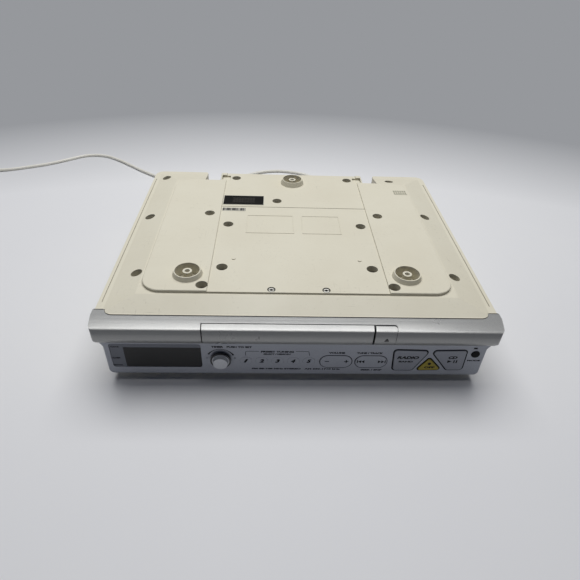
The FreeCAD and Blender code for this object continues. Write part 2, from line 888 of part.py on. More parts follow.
def open_button():
    skin = bar_skin((open_left, bay_half - seam_gap), seam_gap + open_travel, open_corner_radius)
    stem = inward(open_stem_radius, open_stem_x, open_stem_height, (nose + bar_wall / 2, back(open_stem_run)))
    start = back(open_bracket_run) + open_bracket
    collar = inward(open_collar_radius, open_stem_x, open_stem_height, (start, start + open_collar))
    return joined(skin, stem, collar)


tray_left = tray_middle - tray_half
tray_right = tray_middle + tray_half
latch_y = back(latch_run)
hook_y = latch_y - latch_hook_run


def disc_tray():
    body = box((tray_left, tray_right), (back(tray_run), back(tray_body_run)), (tray_floor_height, tray_top))
    skirts = []
    for x in ((tray_left, tray_left + tray_skirt_width), (tray_right - tray_skirt_width, tray_right)):
        skirts.append(box(x, (back(tray_run), back(tray_tail_run)),
                          (tray_skirt_height, tray_floor_height + tray_floor)))
    blocks = []
    for side in (-1, 1):
        x = about(tray_middle + side * guide_half, guide_block)
        for y in (back(window_front_run) - guide_block_length, back(window_back_run)):
            blocks.append(box(x, (y, y + guide_block_length), (pickup_bottom_height, tray_floor_height)))
    whole = joined(body, *skirts, *blocks)
    floor_top = tray_floor_height + tray_floor
    cuts = [upright(disc_well_radius, tray_middle, disc_centre, (floor_top, tray_top + overrun)),
            box(about(tray_middle, 2 * window_half), (back(window_front_run), back(window_back_run)),
                (tray_skirt_height, tray_top + overrun)),
            upright(spindle_hole_radius, tray_middle, disc_centre, (tray_skirt_height, tray_top))]
    grooves = ((tray_left - overrun, tray_left + groove_deep), (tray_right - groove_deep, tray_right + overrun))
    for x in grooves:
        cuts.append(box(x, (back(tray_run) - overrun, back(tray_tail_run) + overrun),
                        (tray_groove_height, tray_groove_height + groove_tall)))
    for side in (-1, 1):
        cuts.append(inward(guide_radius + seated_gap, tray_middle + side * guide_half, guide_height,
                           (back(window_front_run) - guide_block_length - overrun,
                            back(window_back_run) + guide_block_length + overrun)))
    cuts.append(box((tray_right - latch_notch_depth, tray_right + overrun),
                    (hook_y - sliding_gap, back(tray_tail_run) + overrun),
                    (latch_height - sliding_gap, latch_height + latch_thickness + sliding_gap)))
    return whole.cut(cuts)


def guide_rods():
    y = (back(window_front_run) - guide_block_length, back(window_back_run) + guide_block_length)
    return Part.makeCompound([inward(guide_radius, tray_middle + side * guide_half, guide_height, y)
                              for side in (-1, 1)])


def pickup():
    start = back(window_front_run) + pickup_start_gap
    body = box(about(tray_middle, 2 * pickup_half), (start, start + pickup_length),
               (pickup_bottom_height, pickup_top_height))
    lens = upright(lens_radius, tray_middle, start + pickup_length / 2,
                   (pickup_top_height, pickup_top_height + lens_height))
    bores = [inward(guide_radius + running_gap, tray_middle + side * guide_half, guide_height,
                    (start - overrun, start + pickup_length + overrun)) for side in (-1, 1)]
    return joined(body, lens).cut(bores)


def spindle_motor():
    z = (tray_floor_height - motor_height, tray_floor_height)
    bore = upright(spindle_radius + running_gap, tray_middle, disc_centre, (z[0] + motor_floor, z[1] + overrun))
    return upright(motor_radius, tray_middle, disc_centre, z).cut(bore)


def turntable():
    low = tray_floor_height + tray_floor + sliding_gap
    high = low + turntable_thickness
    disc = upright(turntable_radius, tray_middle, disc_centre, (low, high))
    hub = Part.makeCone(hub_radius, hub_top_radius, hub_height, V(tray_middle, disc_centre, high))
    spindle = upright(spindle_radius, tray_middle, disc_centre,
                      (tray_floor_height - motor_height + motor_floor + sliding_gap, low + turntable_thickness / 2))
    return joined(disc, hub, spindle)


frame_left = tray_left - sliding_gap - frame_wall
frame_right = tray_right + sliding_gap + frame_wall
rail_gap = groove_tall / 8


def drive_frame():
    plate_z = (frame_plate_height, frame_top)
    y = (back(frame_front_run), back(frame_back_run))
    pieces = [box((frame_left, frame_right_half), y, plate_z),
              box((frame_tab_left, frame_right_half), (back(frame_tab_run), back(frame_front_run)), plate_z)]
    rail_z = (tray_groove_height + rail_gap, tray_groove_height + groove_tall - rail_gap)
    for wall, rail in (((frame_left, frame_left + frame_wall), (frame_left, tray_left + groove_deep - rail_gap)),
                       ((frame_right - frame_wall, frame_right), (tray_right - groove_deep + rail_gap, frame_right))):
        pieces.append(box(wall, y, (frame_bottom_height, frame_plate_height)))
        pieces.append(box(rail, y, rail_z))
    pieces.append(upright(latch_pin_collar_radius, latch_x, latch_y,
                          (latch_height + latch_thickness + sliding_gap, frame_plate_height)))
    pieces.append(upright(latch_pin_radius, latch_x, latch_y, (latch_height - sliding_gap, frame_plate_height)))
    holes = [upright(screw_radius + seated_gap, x, y, (plate_z[0] - overrun, plate_z[1] + overrun))
             for x, y in drive_places]
    return joined(*pieces).cut(holes)


def tray_latch():
    z = (latch_height, latch_height + latch_thickness)
    hub = upright(latch_hub_radius, latch_x, latch_y, z)
    arm = box(about(latch_x, latch_arm), (hook_y, latch_y), z)
    hook = box((tray_right - latch_hook_tip, latch_x), (hook_y, hook_y + latch_hook_length), z)
    pad = box((latch_x, latch_x + latch_pad_reach), about(latch_y, latch_arm), z)
    bore = upright(latch_pin_radius + running_gap, latch_x, latch_y, (z[0] - overrun, z[1] + overrun))
    return joined(hub, arm, hook, pad).cut(bore)


def spread(shares, radius):
    """Key corners from their shares of the block of three keys."""
    wide = keys_right - keys_left
    tall = keys_top - keys_bottom
    return [(keys_left + u * wide, keys_bottom + v * tall, radius) for u, v in shares]


def middle_of(corners):
    return (sum(c[0] for c in corners) / len(corners), sum(c[1] for c in corners) / len(corners))


preset_places = [-preset_first + i * preset_pitch for i in range(preset_count)]
preset_shapes = [rounded(about(x, preset_length), about(preset_height, preset_tall), preset_radius)
                 for x in preset_places]
mode_shape = rounded(about(mode_x, 2 * mode_radius), about(mode_height, 2 * mode_radius), mode_radius)
radio_shape = spread(radio_shares, keys_radius)
cd_shape = spread(cd_shares, keys_radius)
off_shape = spread(off_shares, off_radius)
block_shapes = [radio_shape, cd_shape, off_shape]
rocker_shapes = {x: rounded(about(x, rocker_length), about(rocker_height, rocker_tall), rocker_tall / 2)
                 for x in (volume_x, tune_x)}
window_shape = rounded((-window_left, -window_right), (window_bottom, window_top), window_radius)
through = (panel_front - overrun, panel_back + overrun)
pin_y = panel_back + rocker_pin_gap
lug_low = rocker_height - rocker_tall / 2 - rocker_gap - rocker_lug
lug_high = rocker_height + rocker_tall / 2 + rocker_gap
boss_places = [(x, z) for x in (-boss_left, boss_middle, boss_right) for z in (boss_low_height, boss_high_height)]


def front_panel():
    top = foot_height - sliding_gap
    plate = facing(mirrored([
        (panel_half, panel_bottom, panel_bottom_radius),
        (panel_half, top - panel_flare_tall, panel_flare_radius),
        (panel_half + panel_flare, top, 0),
    ]), (panel_front, panel_back))
    rim = [e for e in plate.Edges
           if e.BoundBox.YMax < panel_front + seated_gap and e.BoundBox.ZMin < top - seated_gap]
    plate = plate.makeFillet(panel_edge_radius, rim)
    added = [inward(panel_boss_radius, x, z, (panel_back, board_front)) for x, z in boss_places]
    for x in rocker_shapes:
        for z in (lug_low, lug_high):
            added.append(box(about(x, rocker_lug_width), (panel_back, pin_y + rocker_lug), (z, z + rocker_lug)))
    holes = [facing(shape, through, preset_gap) for shape in preset_shapes]
    holes.append(facing(mode_shape, through, key_gap))
    holes += [facing(shape, through, bezel_width + seated_gap) for shape in block_shapes]
    holes += [facing(shape, through, rocker_gap) for shape in rocker_shapes.values()]
    holes.append(facing(window_shape, through, key_gap))
    holes.append(inward(knob_hole_radius, -knob_x, knob_height, through))
    for x, z in boss_places:
        holes.append(inward(panel_boss_pilot, x, z, (panel_back, board_front + overrun)))
    for x in rocker_shapes:
        holes.append(upright(rocker_pin_radius + running_gap, x, pin_y, (lug_low - overrun, lug_high + board_gap)))
    return joined(plate, *added).cut(holes)


def key_bezels():
    """The dark rims of the three large keys, seated in their openings in the panel."""
    grown = [facing(shape, (panel_front, panel_back), bezel_width) for shape in block_shapes]
    holes = [facing(shape, through, key_gap) for shape in block_shapes]
    return joined(*grown).cut(holes)


stem_end = board_front - switch_body - switch_plunger - key_travel - seam_gap


def key(corners, proud):
    """A key cap with a flange that holds it behind the panel and a stem above its switch."""
    cap = facing(corners, (panel_front - proud, panel_back))
    flange = facing(corners, (panel_back, panel_back + key_flange), key_flange_margin)
    x, z = middle_of(corners)
    stem = inward(key_stem_radius, x, z, (panel_back, stem_end))
    return joined(cap, flange, stem)


def rocker(x):
    """A pill that rocks about an upright pin behind its middle, with a pad over each switch."""
    cap = facing(rocker_shapes[x], (panel_front - rocker_proud, panel_back))
    hub = box(about(x, rocker_lug_width), (panel_back, pin_y + rocker_pin_radius),
              about(rocker_height, rocker_hub_tall))
    pin = upright(rocker_pin_radius, x, pin_y, (lug_low, lug_high + rocker_lug))
    pads = [inward(key_stem_radius, x + side * rocker_pad_half, rocker_height, (panel_back, stem_end))
            for side in (-1, 1)]
    return joined(cap, hub, pin, *pads)


switch_places = [middle_of(c) for c in preset_shapes + block_shapes + [mode_shape]]
switch_places += [(x + side * rocker_pad_half, rocker_height) for x in rocker_shapes for side in (-1, 1)]


def tact_switches():
    switches = []
    for x, z in switch_places:
        body = box(about(x, switch_side), (board_front - switch_body, board_front), about(z, switch_side))
        plunger = inward(switch_plunger_radius, x, z,
                         (board_front - switch_body - switch_plunger, board_front - switch_body))
        switches.append(joined(body, plunger))
    return Part.makeCompound(switches)


def display_window():
    lens = facing(window_shape, (panel_front + window_recess, panel_back))
    flange = facing(window_shape, (panel_back, panel_back + key_flange), key_flange)
    return joined(lens, flange)


lcd_front = panel_back + key_flange
lcd_back = lcd_front + lcd_thickness


def lcd_glass():
    return box((-lcd_left, -window_right), (lcd_front, lcd_back), (lcd_bottom, lcd_top))


def lcd_backlight():
    return box((-lcd_left, -window_right), (lcd_back, board_front), (lcd_bottom, lcd_top))


def control_board():
    board = box((-control_left, control_right), (board_front, board_front + board_sheet),
                (control_bottom, control_top))
    holes = [inward(board_screw_radius + running_gap, x, z,
                    (board_front - overrun, board_front + board_sheet + overrun)) for x, z in boss_places]
    return board.cut(holes)


encoder_front = board_front - encoder_depth
bore_end = board_front - encoder_floor
shaft_end = bore_end - plunger_length - key_travel


def encoder_body():
    case = box(about(-knob_x, encoder_side), (encoder_front, board_front), about(knob_height, encoder_side))
    bushing = inward(bushing_radius, -knob_x, knob_height, (encoder_front - bushing_length, encoder_front))
    bore = inward(shaft_radius + running_gap, -knob_x, knob_height,
                  (encoder_front - bushing_length - overrun, bore_end))
    return joined(case, bushing).cut(bore)


def encoder_plunger():
    return inward(plunger_radius, -knob_x, knob_height, (shaft_end, shaft_end + plunger_length))


def encoder_shaft():
    return inward(shaft_radius, -knob_x, knob_height, (panel_front - knob_proud + knob_floor, shaft_end))


def timer_knob():
    skirt_back = panel_front - key_travel - seam_gap
    skirt = inward(knob_skirt_radius, -knob_x, knob_height, (skirt_back - knob_skirt, skirt_back))
    tip = panel_front - knob_proud
    grip = Part.makeCone(knob_tip_radius, knob_radius, skirt_back - tip, V(-knob_x, tip, knob_height), V(0, 1, 0))
    bore = inward(shaft_radius + seated_gap, -knob_x, knob_height, (tip + knob_floor, skirt_back + overrun))
    return joined(skirt, grip).cut(bore)


main_corners = [(x, y) for x in (-main_left + main_corner, main_right - main_corner)
                for y in (back(main_front_run) + main_corner, back(main_back_run) - main_corner)]
main_top = main_height + board_sheet


def bottom_cover():
    outer_corners = case_corners(bottom_half, 0, panel_back)
    body = plan(outer_corners, (base_height, seam_height))
    base = hip(((-base_low_half, base_low_half), (back(base_low_front_run), back(base_low_back_run))), 0,
               ((-base_high_half, base_high_half), (back(base_high_front_run), back(base_high_back_run))), base_height)
    outer = joined(body, base)
    room = plan(case_corners(bottom_half, bottom_wall, panel_back - overrun),
                (base_height + bottom_wall, seam_height + overrun))
    inner_low = base_low_half - bottom_wall
    inner_high = base_high_half - bottom_wall
    pan = hip(((-inner_low, inner_low),
               (back(base_low_front_run) + bottom_wall, back(base_low_back_run) - bottom_wall)), bottom_wall,
              ((-inner_high, inner_high),
               (back(base_high_front_run) + bottom_wall, back(base_high_back_run) - bottom_wall)),
              base_height + bottom_wall)
    step = box((-bottom_half - overrun, bottom_half + overrun),
               (panel_back - overrun, back(cover_side_run) + seam_gap),
               (foot_height - bottom_front_step, seam_height + overrun))
    shell = outer.cut([room, pan, step])
    added = []
    for x, y, height in recesses:
        if (x, y) not in drive_places:
            post = upright(post_radius, x, y, (0, height))
            added.append(joined(post.common(outer), post.common(box(
                (-bottom_half, bottom_half), (nose, -nose), (seam_height, plateau_height)))))
    added += [upright(standoff_radius, x, y, (0, main_height)) for x, y in main_corners]
    shell = joined(shell, *added)
    holes = []
    for x, y, height in recesses:
        if (x, y) not in drive_places:
            holes.append(upright(screw_radius + seated_gap, x, y, (height - pilot_depth, height + overrun)))
    holes += [upright(board_screw_radius + seated_gap, x, y, (bottom_wall, main_height + overrun))
              for x, y in main_corners]
    half_count = int((grille_radius - grille_slot) / grille_pitch)
    for side in (-1, 1):
        for i in range(-half_count, half_count + 1):
            offset = i * grille_pitch
            length = 2 * math.sqrt(grille_radius ** 2 - offset ** 2)
            holes.append(box(about(side * speaker_half, length),
                             about(back(speaker_run) + offset, grille_slot), (-overrun, bottom_wall + overrun)))
    holes.append(inward(relief_radius + seated_gap, lead_x, lead_height,
                        (back(tab_run) - bottom_wall - overrun, back(tab_run) + overrun)))
    return shell.cut(holes)


def speaker_basket(side):
    lip = speaker_radius - speaker_lip
    wall = speaker_sheet
    return turned([(lip, 0), (speaker_radius, 0), (speaker_radius, wall), (speaker_radius - wall, wall),
                   (speaker_throat_radius, speaker_depth - wall), (speaker_throat_radius, speaker_depth),
                   (0, speaker_depth), (0, speaker_depth - wall),
                   (speaker_throat_radius - wall, speaker_depth - wall),
                   (speaker_radius - 2 * wall, wall), (lip, wall)],
                  side * speaker_half, back(speaker_run), bottom_wall)


def speaker_cone(side):
    lip = speaker_radius - speaker_lip
    low = speaker_sheet
    high = low + cone_depth
    return turned([(0, high), (cone_cap_radius, high), (lip, low), (lip + cone_edge, low),
                   (lip + cone_edge, low + cone_sheet), (lip + seam_gap, low + cone_sheet),
                   (cone_cap_radius + seam_gap, high + cone_sheet), (0, high + cone_sheet)],
                  side * speaker_half, back(speaker_run), bottom_wall)


def speaker_magnet(side):
    low = bottom_wall + speaker_depth
    return upright(magnet_radius, side * speaker_half, back(speaker_run), (low, low + magnet_height))


def main_board():
    board = box((-main_left, main_right), (back(main_front_run), back(main_back_run)), (main_height, main_top))
    holes = [upright(board_screw_radius + running_gap, x, y, (main_height - overrun, main_top + overrun))
             for x, y in main_corners]
    return board.cut(holes)


def board_screws():
    shank = board_screw_length
    screws = [slotted_screw(x, y, main_top, shank, board_screw_radius, board_head_radius, board_head_height)
              for x, y in main_corners]
    start = board_front + board_sheet
    for x, z in boss_places:
        head = inward(board_head_radius, x, z, (start, start + board_head_height))
        screws.append(joined(head, inward(board_screw_radius, x, z, (start - shank, start))))
    return Part.makeCompound(screws)


def tuner_can():
    return box(about(tuner_x, tuner_length), about(back(tuner_run), tuner_width), (main_top, main_top + tuner_tall))


def filter_capacitors():
    return Part.makeCompound([
        upright(capacitor_radius, capacitor_x + side * capacitor_pitch / 2, back(capacitor_run),
                (main_top, main_top + capacitor_tall)) for side in (-1, 1)])


def heat_sink():
    y = about(back(heat_sink_run), heat_sink_depth)
    z = (main_top, main_top + heat_sink_tall)
    x = about(heat_sink_x, heat_sink_length)
    pieces = [box(x, (y[0], y[0] + heat_sink_fin), z)]
    step = (heat_sink_length - heat_sink_fin) / (heat_sink_fins - 1)
    for i in range(heat_sink_fins):
        pieces.append(box((x[0] + i * step, x[0] + i * step + heat_sink_fin), y, z))
    return joined(*pieces)


def transformer_core():
    x = about(transformer_x, transformer_width)
    y = about(back(transformer_run), transformer_stack)
    core = box(x, y, (bottom_wall, bottom_wall + transformer_tall))
    return core.cut(transformer_windows(y))


def transformer_windows(y):
    """The two openings in the core that the winding fills."""
    inner = transformer_width / 2 - transformer_leg
    z = (bottom_wall + transformer_leg, bottom_wall + transformer_tall - transformer_leg)
    return [box(sorted((transformer_x + side * transformer_leg, transformer_x + side * inner)), y, z)
            for side in (-1, 1)]


def transformer_coil():
    stack = about(back(transformer_run), transformer_stack)
    y = (stack[0] - coil_overhang, stack[1] + coil_overhang)
    filled = transformer_windows(y)
    inner = transformer_width / 2 - transformer_leg
    z = (bottom_wall + transformer_leg, bottom_wall + transformer_tall - transformer_leg)
    ends = [box(about(transformer_x, 2 * inner), span, z) for span in ((y[0], stack[0]), (stack[1], y[1]))]
    return joined(*filled, *ends)


def rating_label():
    z = (down(middle_step), down(middle_step) + label_sheet)
    return box((-label_left, -label_right), (back(label_front_run), back(label_back_run)), z)


def code_sticker():
    z = (down(middle_step), down(middle_step) + label_sheet)
    return box((-sticker_left, -sticker_right), (back(sticker_front_run), back(sticker_back_run)), z)


relief_end = back(tab_run) + relief_length
low_coil = tie_sheet + tie_gap + lead_diameter / 2
high_coil = low_coil + coil_pitch
high_outer = coil_inner_radius + (coil_high_turns + quarter_share) * coil_pitch


def strain_relief():
    inner_wall = back(tab_run) - bottom_wall
    flange = inward(relief_flange_radius, lead_x, lead_height, (inner_wall - relief_flange, inner_wall))
    neck = inward(relief_radius, lead_x, lead_height, (inner_wall, back(tab_run)))
    taper = Part.makeCone(relief_radius, relief_tip_radius, relief_length,
                          V(lead_x, back(tab_run), lead_height), V(0, 1, 0))
    return joined(flange, neck, taper)


def lead_route():
    """The lead's points: out of the relief, down to the table, round behind the case and off to the left."""
    start, way = on_coil(coil_stations()[0])
    end = start - way * lead_diameter
    falling = [V(*p) for p in lead_fall]
    lying = [V(x, y, lead_diameter / 2) for x, y in lead_on_table]
    return [V(lead_x, relief_end, lead_height)] + falling + lying + [end - way * lead_last_run, end]


def rounded_path(points):
    """Straight runs joined by the largest tangent arc that the shorter run at each point allows."""
    edges = []
    radii = []
    here = points[0]
    for before, corner, after in zip(points, points[1:], points[2:]):
        reach = arc_share * min((before - corner).Length, (after - corner).Length)
        to_before = (before - corner).normalize()
        to_after = (after - corner).normalize()
        half = to_before.getAngle(to_after) / 2
        radius = reach * math.tan(half)
        start = corner + to_before * reach
        end = corner + to_after * reach
        middle_way = (to_before + to_after).normalize()
        tip = corner + middle_way * (radius / math.sin(half) - radius)
        edges.append(Part.LineSegment(here, start).toShape())
        edges.append(Part.Arc(start, tip, end).toShape())
        radii.append(radius)
        here = end
    edges.append(Part.LineSegment(here, points[-1]).toShape())
    print("bend radii", [round(r, 1) for r in radii])
    return Part.Wire(edges)


def tube(path, radius):
    """A round tube along a path of lines and arcs, with its volume set against section times length."""
    start = path.Edges[0].Curve.value(path.Edges[0].FirstParameter)
    way = path.Edges[0].tangentAt(path.Edges[0].FirstParameter)
    ring = Part.Wire([Part.makeCircle(radius, start, way)])
    solid = path.makePipeShell([ring], True, False)
    print("tube length", round(path.Length, 1), "volume share",
          round(solid.Volume / (math.pi * radius ** 2 * path.Length), 4))
    return solid


def mains_lead():
    return tube(rounded_path(lead_route()), lead_diameter / 2)


def coil_stations():
    """(angle, radius, height, radius change, height change) at each quarter turn, the changes per radian.

    The coil spirals in along the table, climbs a layer in the half turn where it is tightest and spirals out.
    """
    quarter = math.pi / 2
    rate = coil_pitch / (2 * math.pi)
    climb = high_coil - low_coil
    low_count = round(coil_low_turns / quarter_share)
    high_count = round(coil_high_turns / quarter_share)
    tightest = low_count + 1
    stations = []
    for i in range(low_count + high_count + 3):
        radius = coil_inner_radius + rate * quarter * abs(i - tightest)
        way = (i > tightest) - (i < tightest)
        height = low_coil + climb * (way + 1) / 2
        stations.append((quarter * (1 + i), radius, height, rate * way, 0 if way else 1.5 * climb / math.pi))
    return stations


def on_coil(station):
    """The point and the unit direction of the coil at a station."""
    angle, radius, height, radius_rate, height_rate = station
    point = V(coil_x + radius * math.cos(angle), coil_y + radius * math.sin(angle), height)
    way = V(radius_rate * math.cos(angle) - radius * math.sin(angle),
            radius_rate * math.sin(angle) + radius * math.cos(angle), height_rate)
    return point, way.normalize()


def arc_from(start, way, end):
    """The arc that leaves start in the given direction and ends at end."""
    chord = end - start
    side = way - chord * (way.dot(chord) / chord.dot(chord))
    angle = way.getAngle(chord)
    tip = start + chord * 0.5 + side.normalize() * (chord.Length / 2 * math.tan(angle / 2))
    return Part.Arc(start, tip, end).toShape()


def biarc(start, start_way, end, end_way):
    """Two arcs that meet smoothly between two points with given directions."""
    span = end - start
    ways = start_way + end_way
    square = 2 * (start_way.dot(end_way) - 1)
    linear = -2 * span.dot(ways)
    reach = (-linear - math.sqrt(linear ** 2 - 4 * square * span.dot(span))) / (2 * square)
    first = start + start_way * reach
    second = end - end_way * reach
    joint = (first + second) * 0.5
    return [arc_from(start, start_way, joint), arc_from(joint, (second - first).normalize(), end)]


def coil_path():
    places = [on_coil(s) for s in coil_stations()]
    first, first_way = places[0]
    last, last_way = places[-1]
    edges = [Part.LineSegment(first - first_way * lead_diameter, first).toShape()]
    for (start, start_way), (end, end_way) in zip(places, places[1:]):
        edges += biarc(start, start_way, end, end_way)
    end = last + last_way * coil_end_run
    edges.append(Part.LineSegment(last, end).toShape())
    return Part.Wire(edges), end, last_way


def least_self_gap(path):
    """The least distance between stretches of the tube that lie more than a quarter turn apart."""
    points = path.discretize(Number=900)
    step = path.Length / (len(points) - 1)
    apart = int(coil_inner_radius * math.pi / step)
    gaps = [(points[i] - points[j]).Length for i in range(len(points)) for j in range(i + apart, len(points))]
    return min(gaps) - lead_diameter


def lead_coil():
    path, _, _ = coil_path()
    print("coil self gap", round(least_self_gap(path), 2))
    return tube(path, lead_diameter / 2)


def coil_tie():
    """A flat band round the bundle of turns at one place."""
    radii = (coil_inner_radius - lead_diameter / 2 - tie_gap, high_outer + lead_diameter / 2 + tie_gap)
    z = (tie_sheet, high_coil + lead_diameter / 2 + tie_gap)
    inner = box(radii, about(0, tie_width + overrun), z)
    outer = box((radii[0] - tie_sheet, radii[1] + tie_sheet), about(0, tie_width), (0, z[1] + tie_sheet))
    band = outer.cut(inner)
    band.rotate(V(0, 0, 0), V(0, 0, 1), tie_angle)
    band.translate(V(coil_x, coil_y, 0))
    return band


def plug_pieces():
    """The plug's body and blades, made along Y and turned to the end of the coil."""
    _, end, way = coil_path()
    half_tall = end.z
    neck = Part.makeCone(lead_diameter / 2 + tie_sheet, plug_neck_radius, plug_neck, V(0, 0, 0), V(0, 1, 0))
    shape = rounded(about(0, plug_width), about(0, 2 * half_tall), plug_radius)
    body = facing(shape, (plug_neck, plug_neck + plug_length))
    start = plug_neck + plug_length
    blades = [box(about(side * blade_pitch / 2, blade_sheet), (start, start + blade_length), about(0, blade_width))
              for side in (-1, 1)]
    pieces = [joined(neck, body), Part.makeCompound(blades)]
    for piece in pieces:
        piece.rotate(V(0, 0, 0), V(0, 0, 1), math.degrees(math.atan2(-way.x, way.y)))
        piece.translate(end)
    return pieces


plug_body, plug_blades = plug_pieces()
nodes = {
    "top_cover": top_cover(),
    "bottom_cover": bottom_cover(),
    "front_bar": front_bar(),
    "front_panel": front_panel(),
    "key_bezels": key_bezels(),
    "display_window": display_window(),
    "lcd_glass": lcd_glass(),
    "lcd_backlight": lcd_backlight(),
    "control_board": control_board(),
    "tact_switches": tact_switches(),
    "encoder_body": encoder_body(),
    "encoder_plunger": encoder_plunger(),
    "encoder_shaft": encoder_shaft(),
    "timer_knob": timer_knob(),
    "volume_rocker": rocker(volume_x),
    "tune_rocker": rocker(tune_x),
    "radio_button": key(radio_shape, key_proud),
    "cd_button": key(cd_shape, key_proud),
    "off_button": key(off_shape, key_proud),
    "mode_button": key(mode_shape, key_proud),
    "disc_tray": disc_tray(),
    "tray_front": tray_front(),
    "guide_rods": guide_rods(),
    "pickup": pickup(),
    "spindle_motor": spindle_motor(),
    "turntable": turntable(),
    "drive_frame": drive_frame(),
    "open_button": open_button(),
    "tray_latch": tray_latch(),
    "main_board": main_board(),
    "tuner_can": tuner_can(),
    "filter_capacitors": filter_capacitors(),
    "heat_sink": heat_sink(),
    "transformer_core": transformer_core(),
    "transformer_coil": transformer_coil(),
    "case_screws": case_screws(),
    "drive_screws": drive_screws(),
    "bar_screws": bar_screws(),
    "board_screws": board_screws(),
    "mount_inserts": mount_inserts(),
    "rating_label": rating_label(),
    "code_sticker": code_sticker(),
    "strain_relief": strain_relief(),
    "mains_lead": mains_lead(),
    "lead_coil": lead_coil(),
    "coil_tie": coil_tie(),
    "mains_plug": plug_body,
    "plug_blades": plug_blades,
}
for number, shape in enumerate(preset_shapes, 1):
    nodes[f"preset_key_{number}"] = key(shape, preset_proud)
for name, side in (("left", -1), ("right", 1)):
    nodes[f"speaker_basket_{name}"] = speaker_basket(side)
    nodes[f"speaker_cone_{name}"] = speaker_cone(side)
    nodes[f"speaker_magnet_{name}"] = speaker_magnet(side)

os.makedirs("parts", exist_ok=True)
for name, shape in nodes.items():
    shape.exportStep(f"parts/{name}.step")
    print(name, len(shape.Solids), "solids", round(shape.Volume), "valid" if shape.isValid() else "not valid")
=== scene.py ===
"""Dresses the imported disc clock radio: its lead, its finishes, its printed marks and the table under it."""

import math

import bpy
import numpy as np
from mathutils import Matrix, Vector


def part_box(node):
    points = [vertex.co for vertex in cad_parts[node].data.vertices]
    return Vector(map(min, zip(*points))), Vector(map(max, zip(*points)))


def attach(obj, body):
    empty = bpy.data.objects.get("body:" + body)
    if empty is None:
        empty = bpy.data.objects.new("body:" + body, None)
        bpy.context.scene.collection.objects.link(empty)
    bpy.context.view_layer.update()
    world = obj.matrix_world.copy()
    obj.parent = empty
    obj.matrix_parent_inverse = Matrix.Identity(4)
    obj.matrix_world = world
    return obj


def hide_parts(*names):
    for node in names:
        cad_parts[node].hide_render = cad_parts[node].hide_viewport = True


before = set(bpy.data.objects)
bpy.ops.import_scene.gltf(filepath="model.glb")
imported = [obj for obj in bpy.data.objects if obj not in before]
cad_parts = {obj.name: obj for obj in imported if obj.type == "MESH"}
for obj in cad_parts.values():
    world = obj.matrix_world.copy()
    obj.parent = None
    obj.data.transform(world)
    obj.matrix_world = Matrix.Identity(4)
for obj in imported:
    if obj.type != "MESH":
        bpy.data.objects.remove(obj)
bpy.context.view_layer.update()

MM = 0.001

# The photograph's camera: where it stands, how it is turned, and its lens and sensor in millimetres
camera_place = np.array((-22.69, -385.51, 301.09)) * MM
camera_pitch, camera_yaw, camera_roll = np.radians((38.014, 3.101, 2.677))
camera_lens, camera_sensor = 29.71, 36.0

# The mains lead: the source's route in millimetres, then a coil of quarter turns counted from its outer start
lead_diameter = 4.0 * MM
lead_route = (
    (45, 142, 28), (45, 158, 28), (46, 180, 18.5), (48, 202, 6), (50, 224, 2), (48, 248, 2), (35, 268, 2),
    (12, 280, 2), (-15, 284, 2), (-41, 277, 2), (-64, 261, 2), (-89, 244, 2), (-117, 234, 2), (-146, 234, 2),
    (-172, 245, 2), (-198, 263, 2), (-224, 285, 2), (-249, 307, 2), (-276, 325, 2), (-304, 324, 2),
    (-326, 305, 2), (-348, 288, 2), (-372, 276, 2), (-396, 265, 2), (-416, 260.65, 3.3), (-436, 260.19, 3.3))
lead_end = (-473.8, 204, 7.9)
coil_middle = (-440, 228)
coil_inner_radius = 16.0
coil_quarter_pitch = 1.15
coil_low_quarters = 14
coil_quarters = 29
coil_low, coil_high = 3.3, 7.9
coil_points_per_quarter = 3
coil_points_share = 1.0347

# The table, the grey backdrop that it fades into, the lamps (place, size, power) and the room
floor_half = 4.0
floor_tone, floor_worn_tone = (222, 222, 222), (218, 218, 219)
floor_patch = 1.5
backdrop_start, backdrop_end = 0.26, 0.56
backdrop_bow = 0.5
table_fade = (0.9, 1.6)
backdrop_tone = (150, 152, 156)
lamps = {
    "ceiling_lamp": ((-0.04, 0.36, 1.30), (1.3, 1.1), 20.0),
    "front_strip": ((0.0, -0.38, 1.25), (1.6, 0.08), 1.6),
}
room_tone = (0.010, 0.019, 0.046)

# The bar's full nose: the height of its fullest line, and how far in it falls at the reach above or below
nose_height = 52.0 * MM
nose_reach = 10.0 * MM
nose_bulge = 3.6 * MM

# Prints stand proud of the face that they are on by this much
ink = 0.03 * MM

# The display's dark part of the window, in millimetres
display_left, display_top = -133.8, 38.0


def photograph_camera():
    """A camera whose line of sight is turned by the yaw, lowered by the pitch and rolled about itself."""
    cos, sin = math.cos, math.sin
    data = bpy.data.cameras.new("photo_camera")
    data.sensor_width = camera_sensor
    data.lens = camera_lens
    camera = bpy.data.objects.new("photo_camera", data)
    bpy.context.collection.objects.link(camera)
    ahead = cos(camera_pitch)
    forward = Vector((sin(camera_yaw) * ahead, cos(camera_yaw) * ahead, -sin(camera_pitch)))
    level = Vector((cos(camera_yaw), -sin(camera_yaw), 0))
    rise = level.cross(forward)
    right = cos(camera_roll) * level + sin(camera_roll) * rise
    up = cos(camera_roll) * rise - sin(camera_roll) * level
    turned = Matrix((right, up, -forward)).transposed().to_4x4()
    camera.matrix_world = Matrix.Translation(camera_place) @ turned
    bpy.context.scene.camera = camera


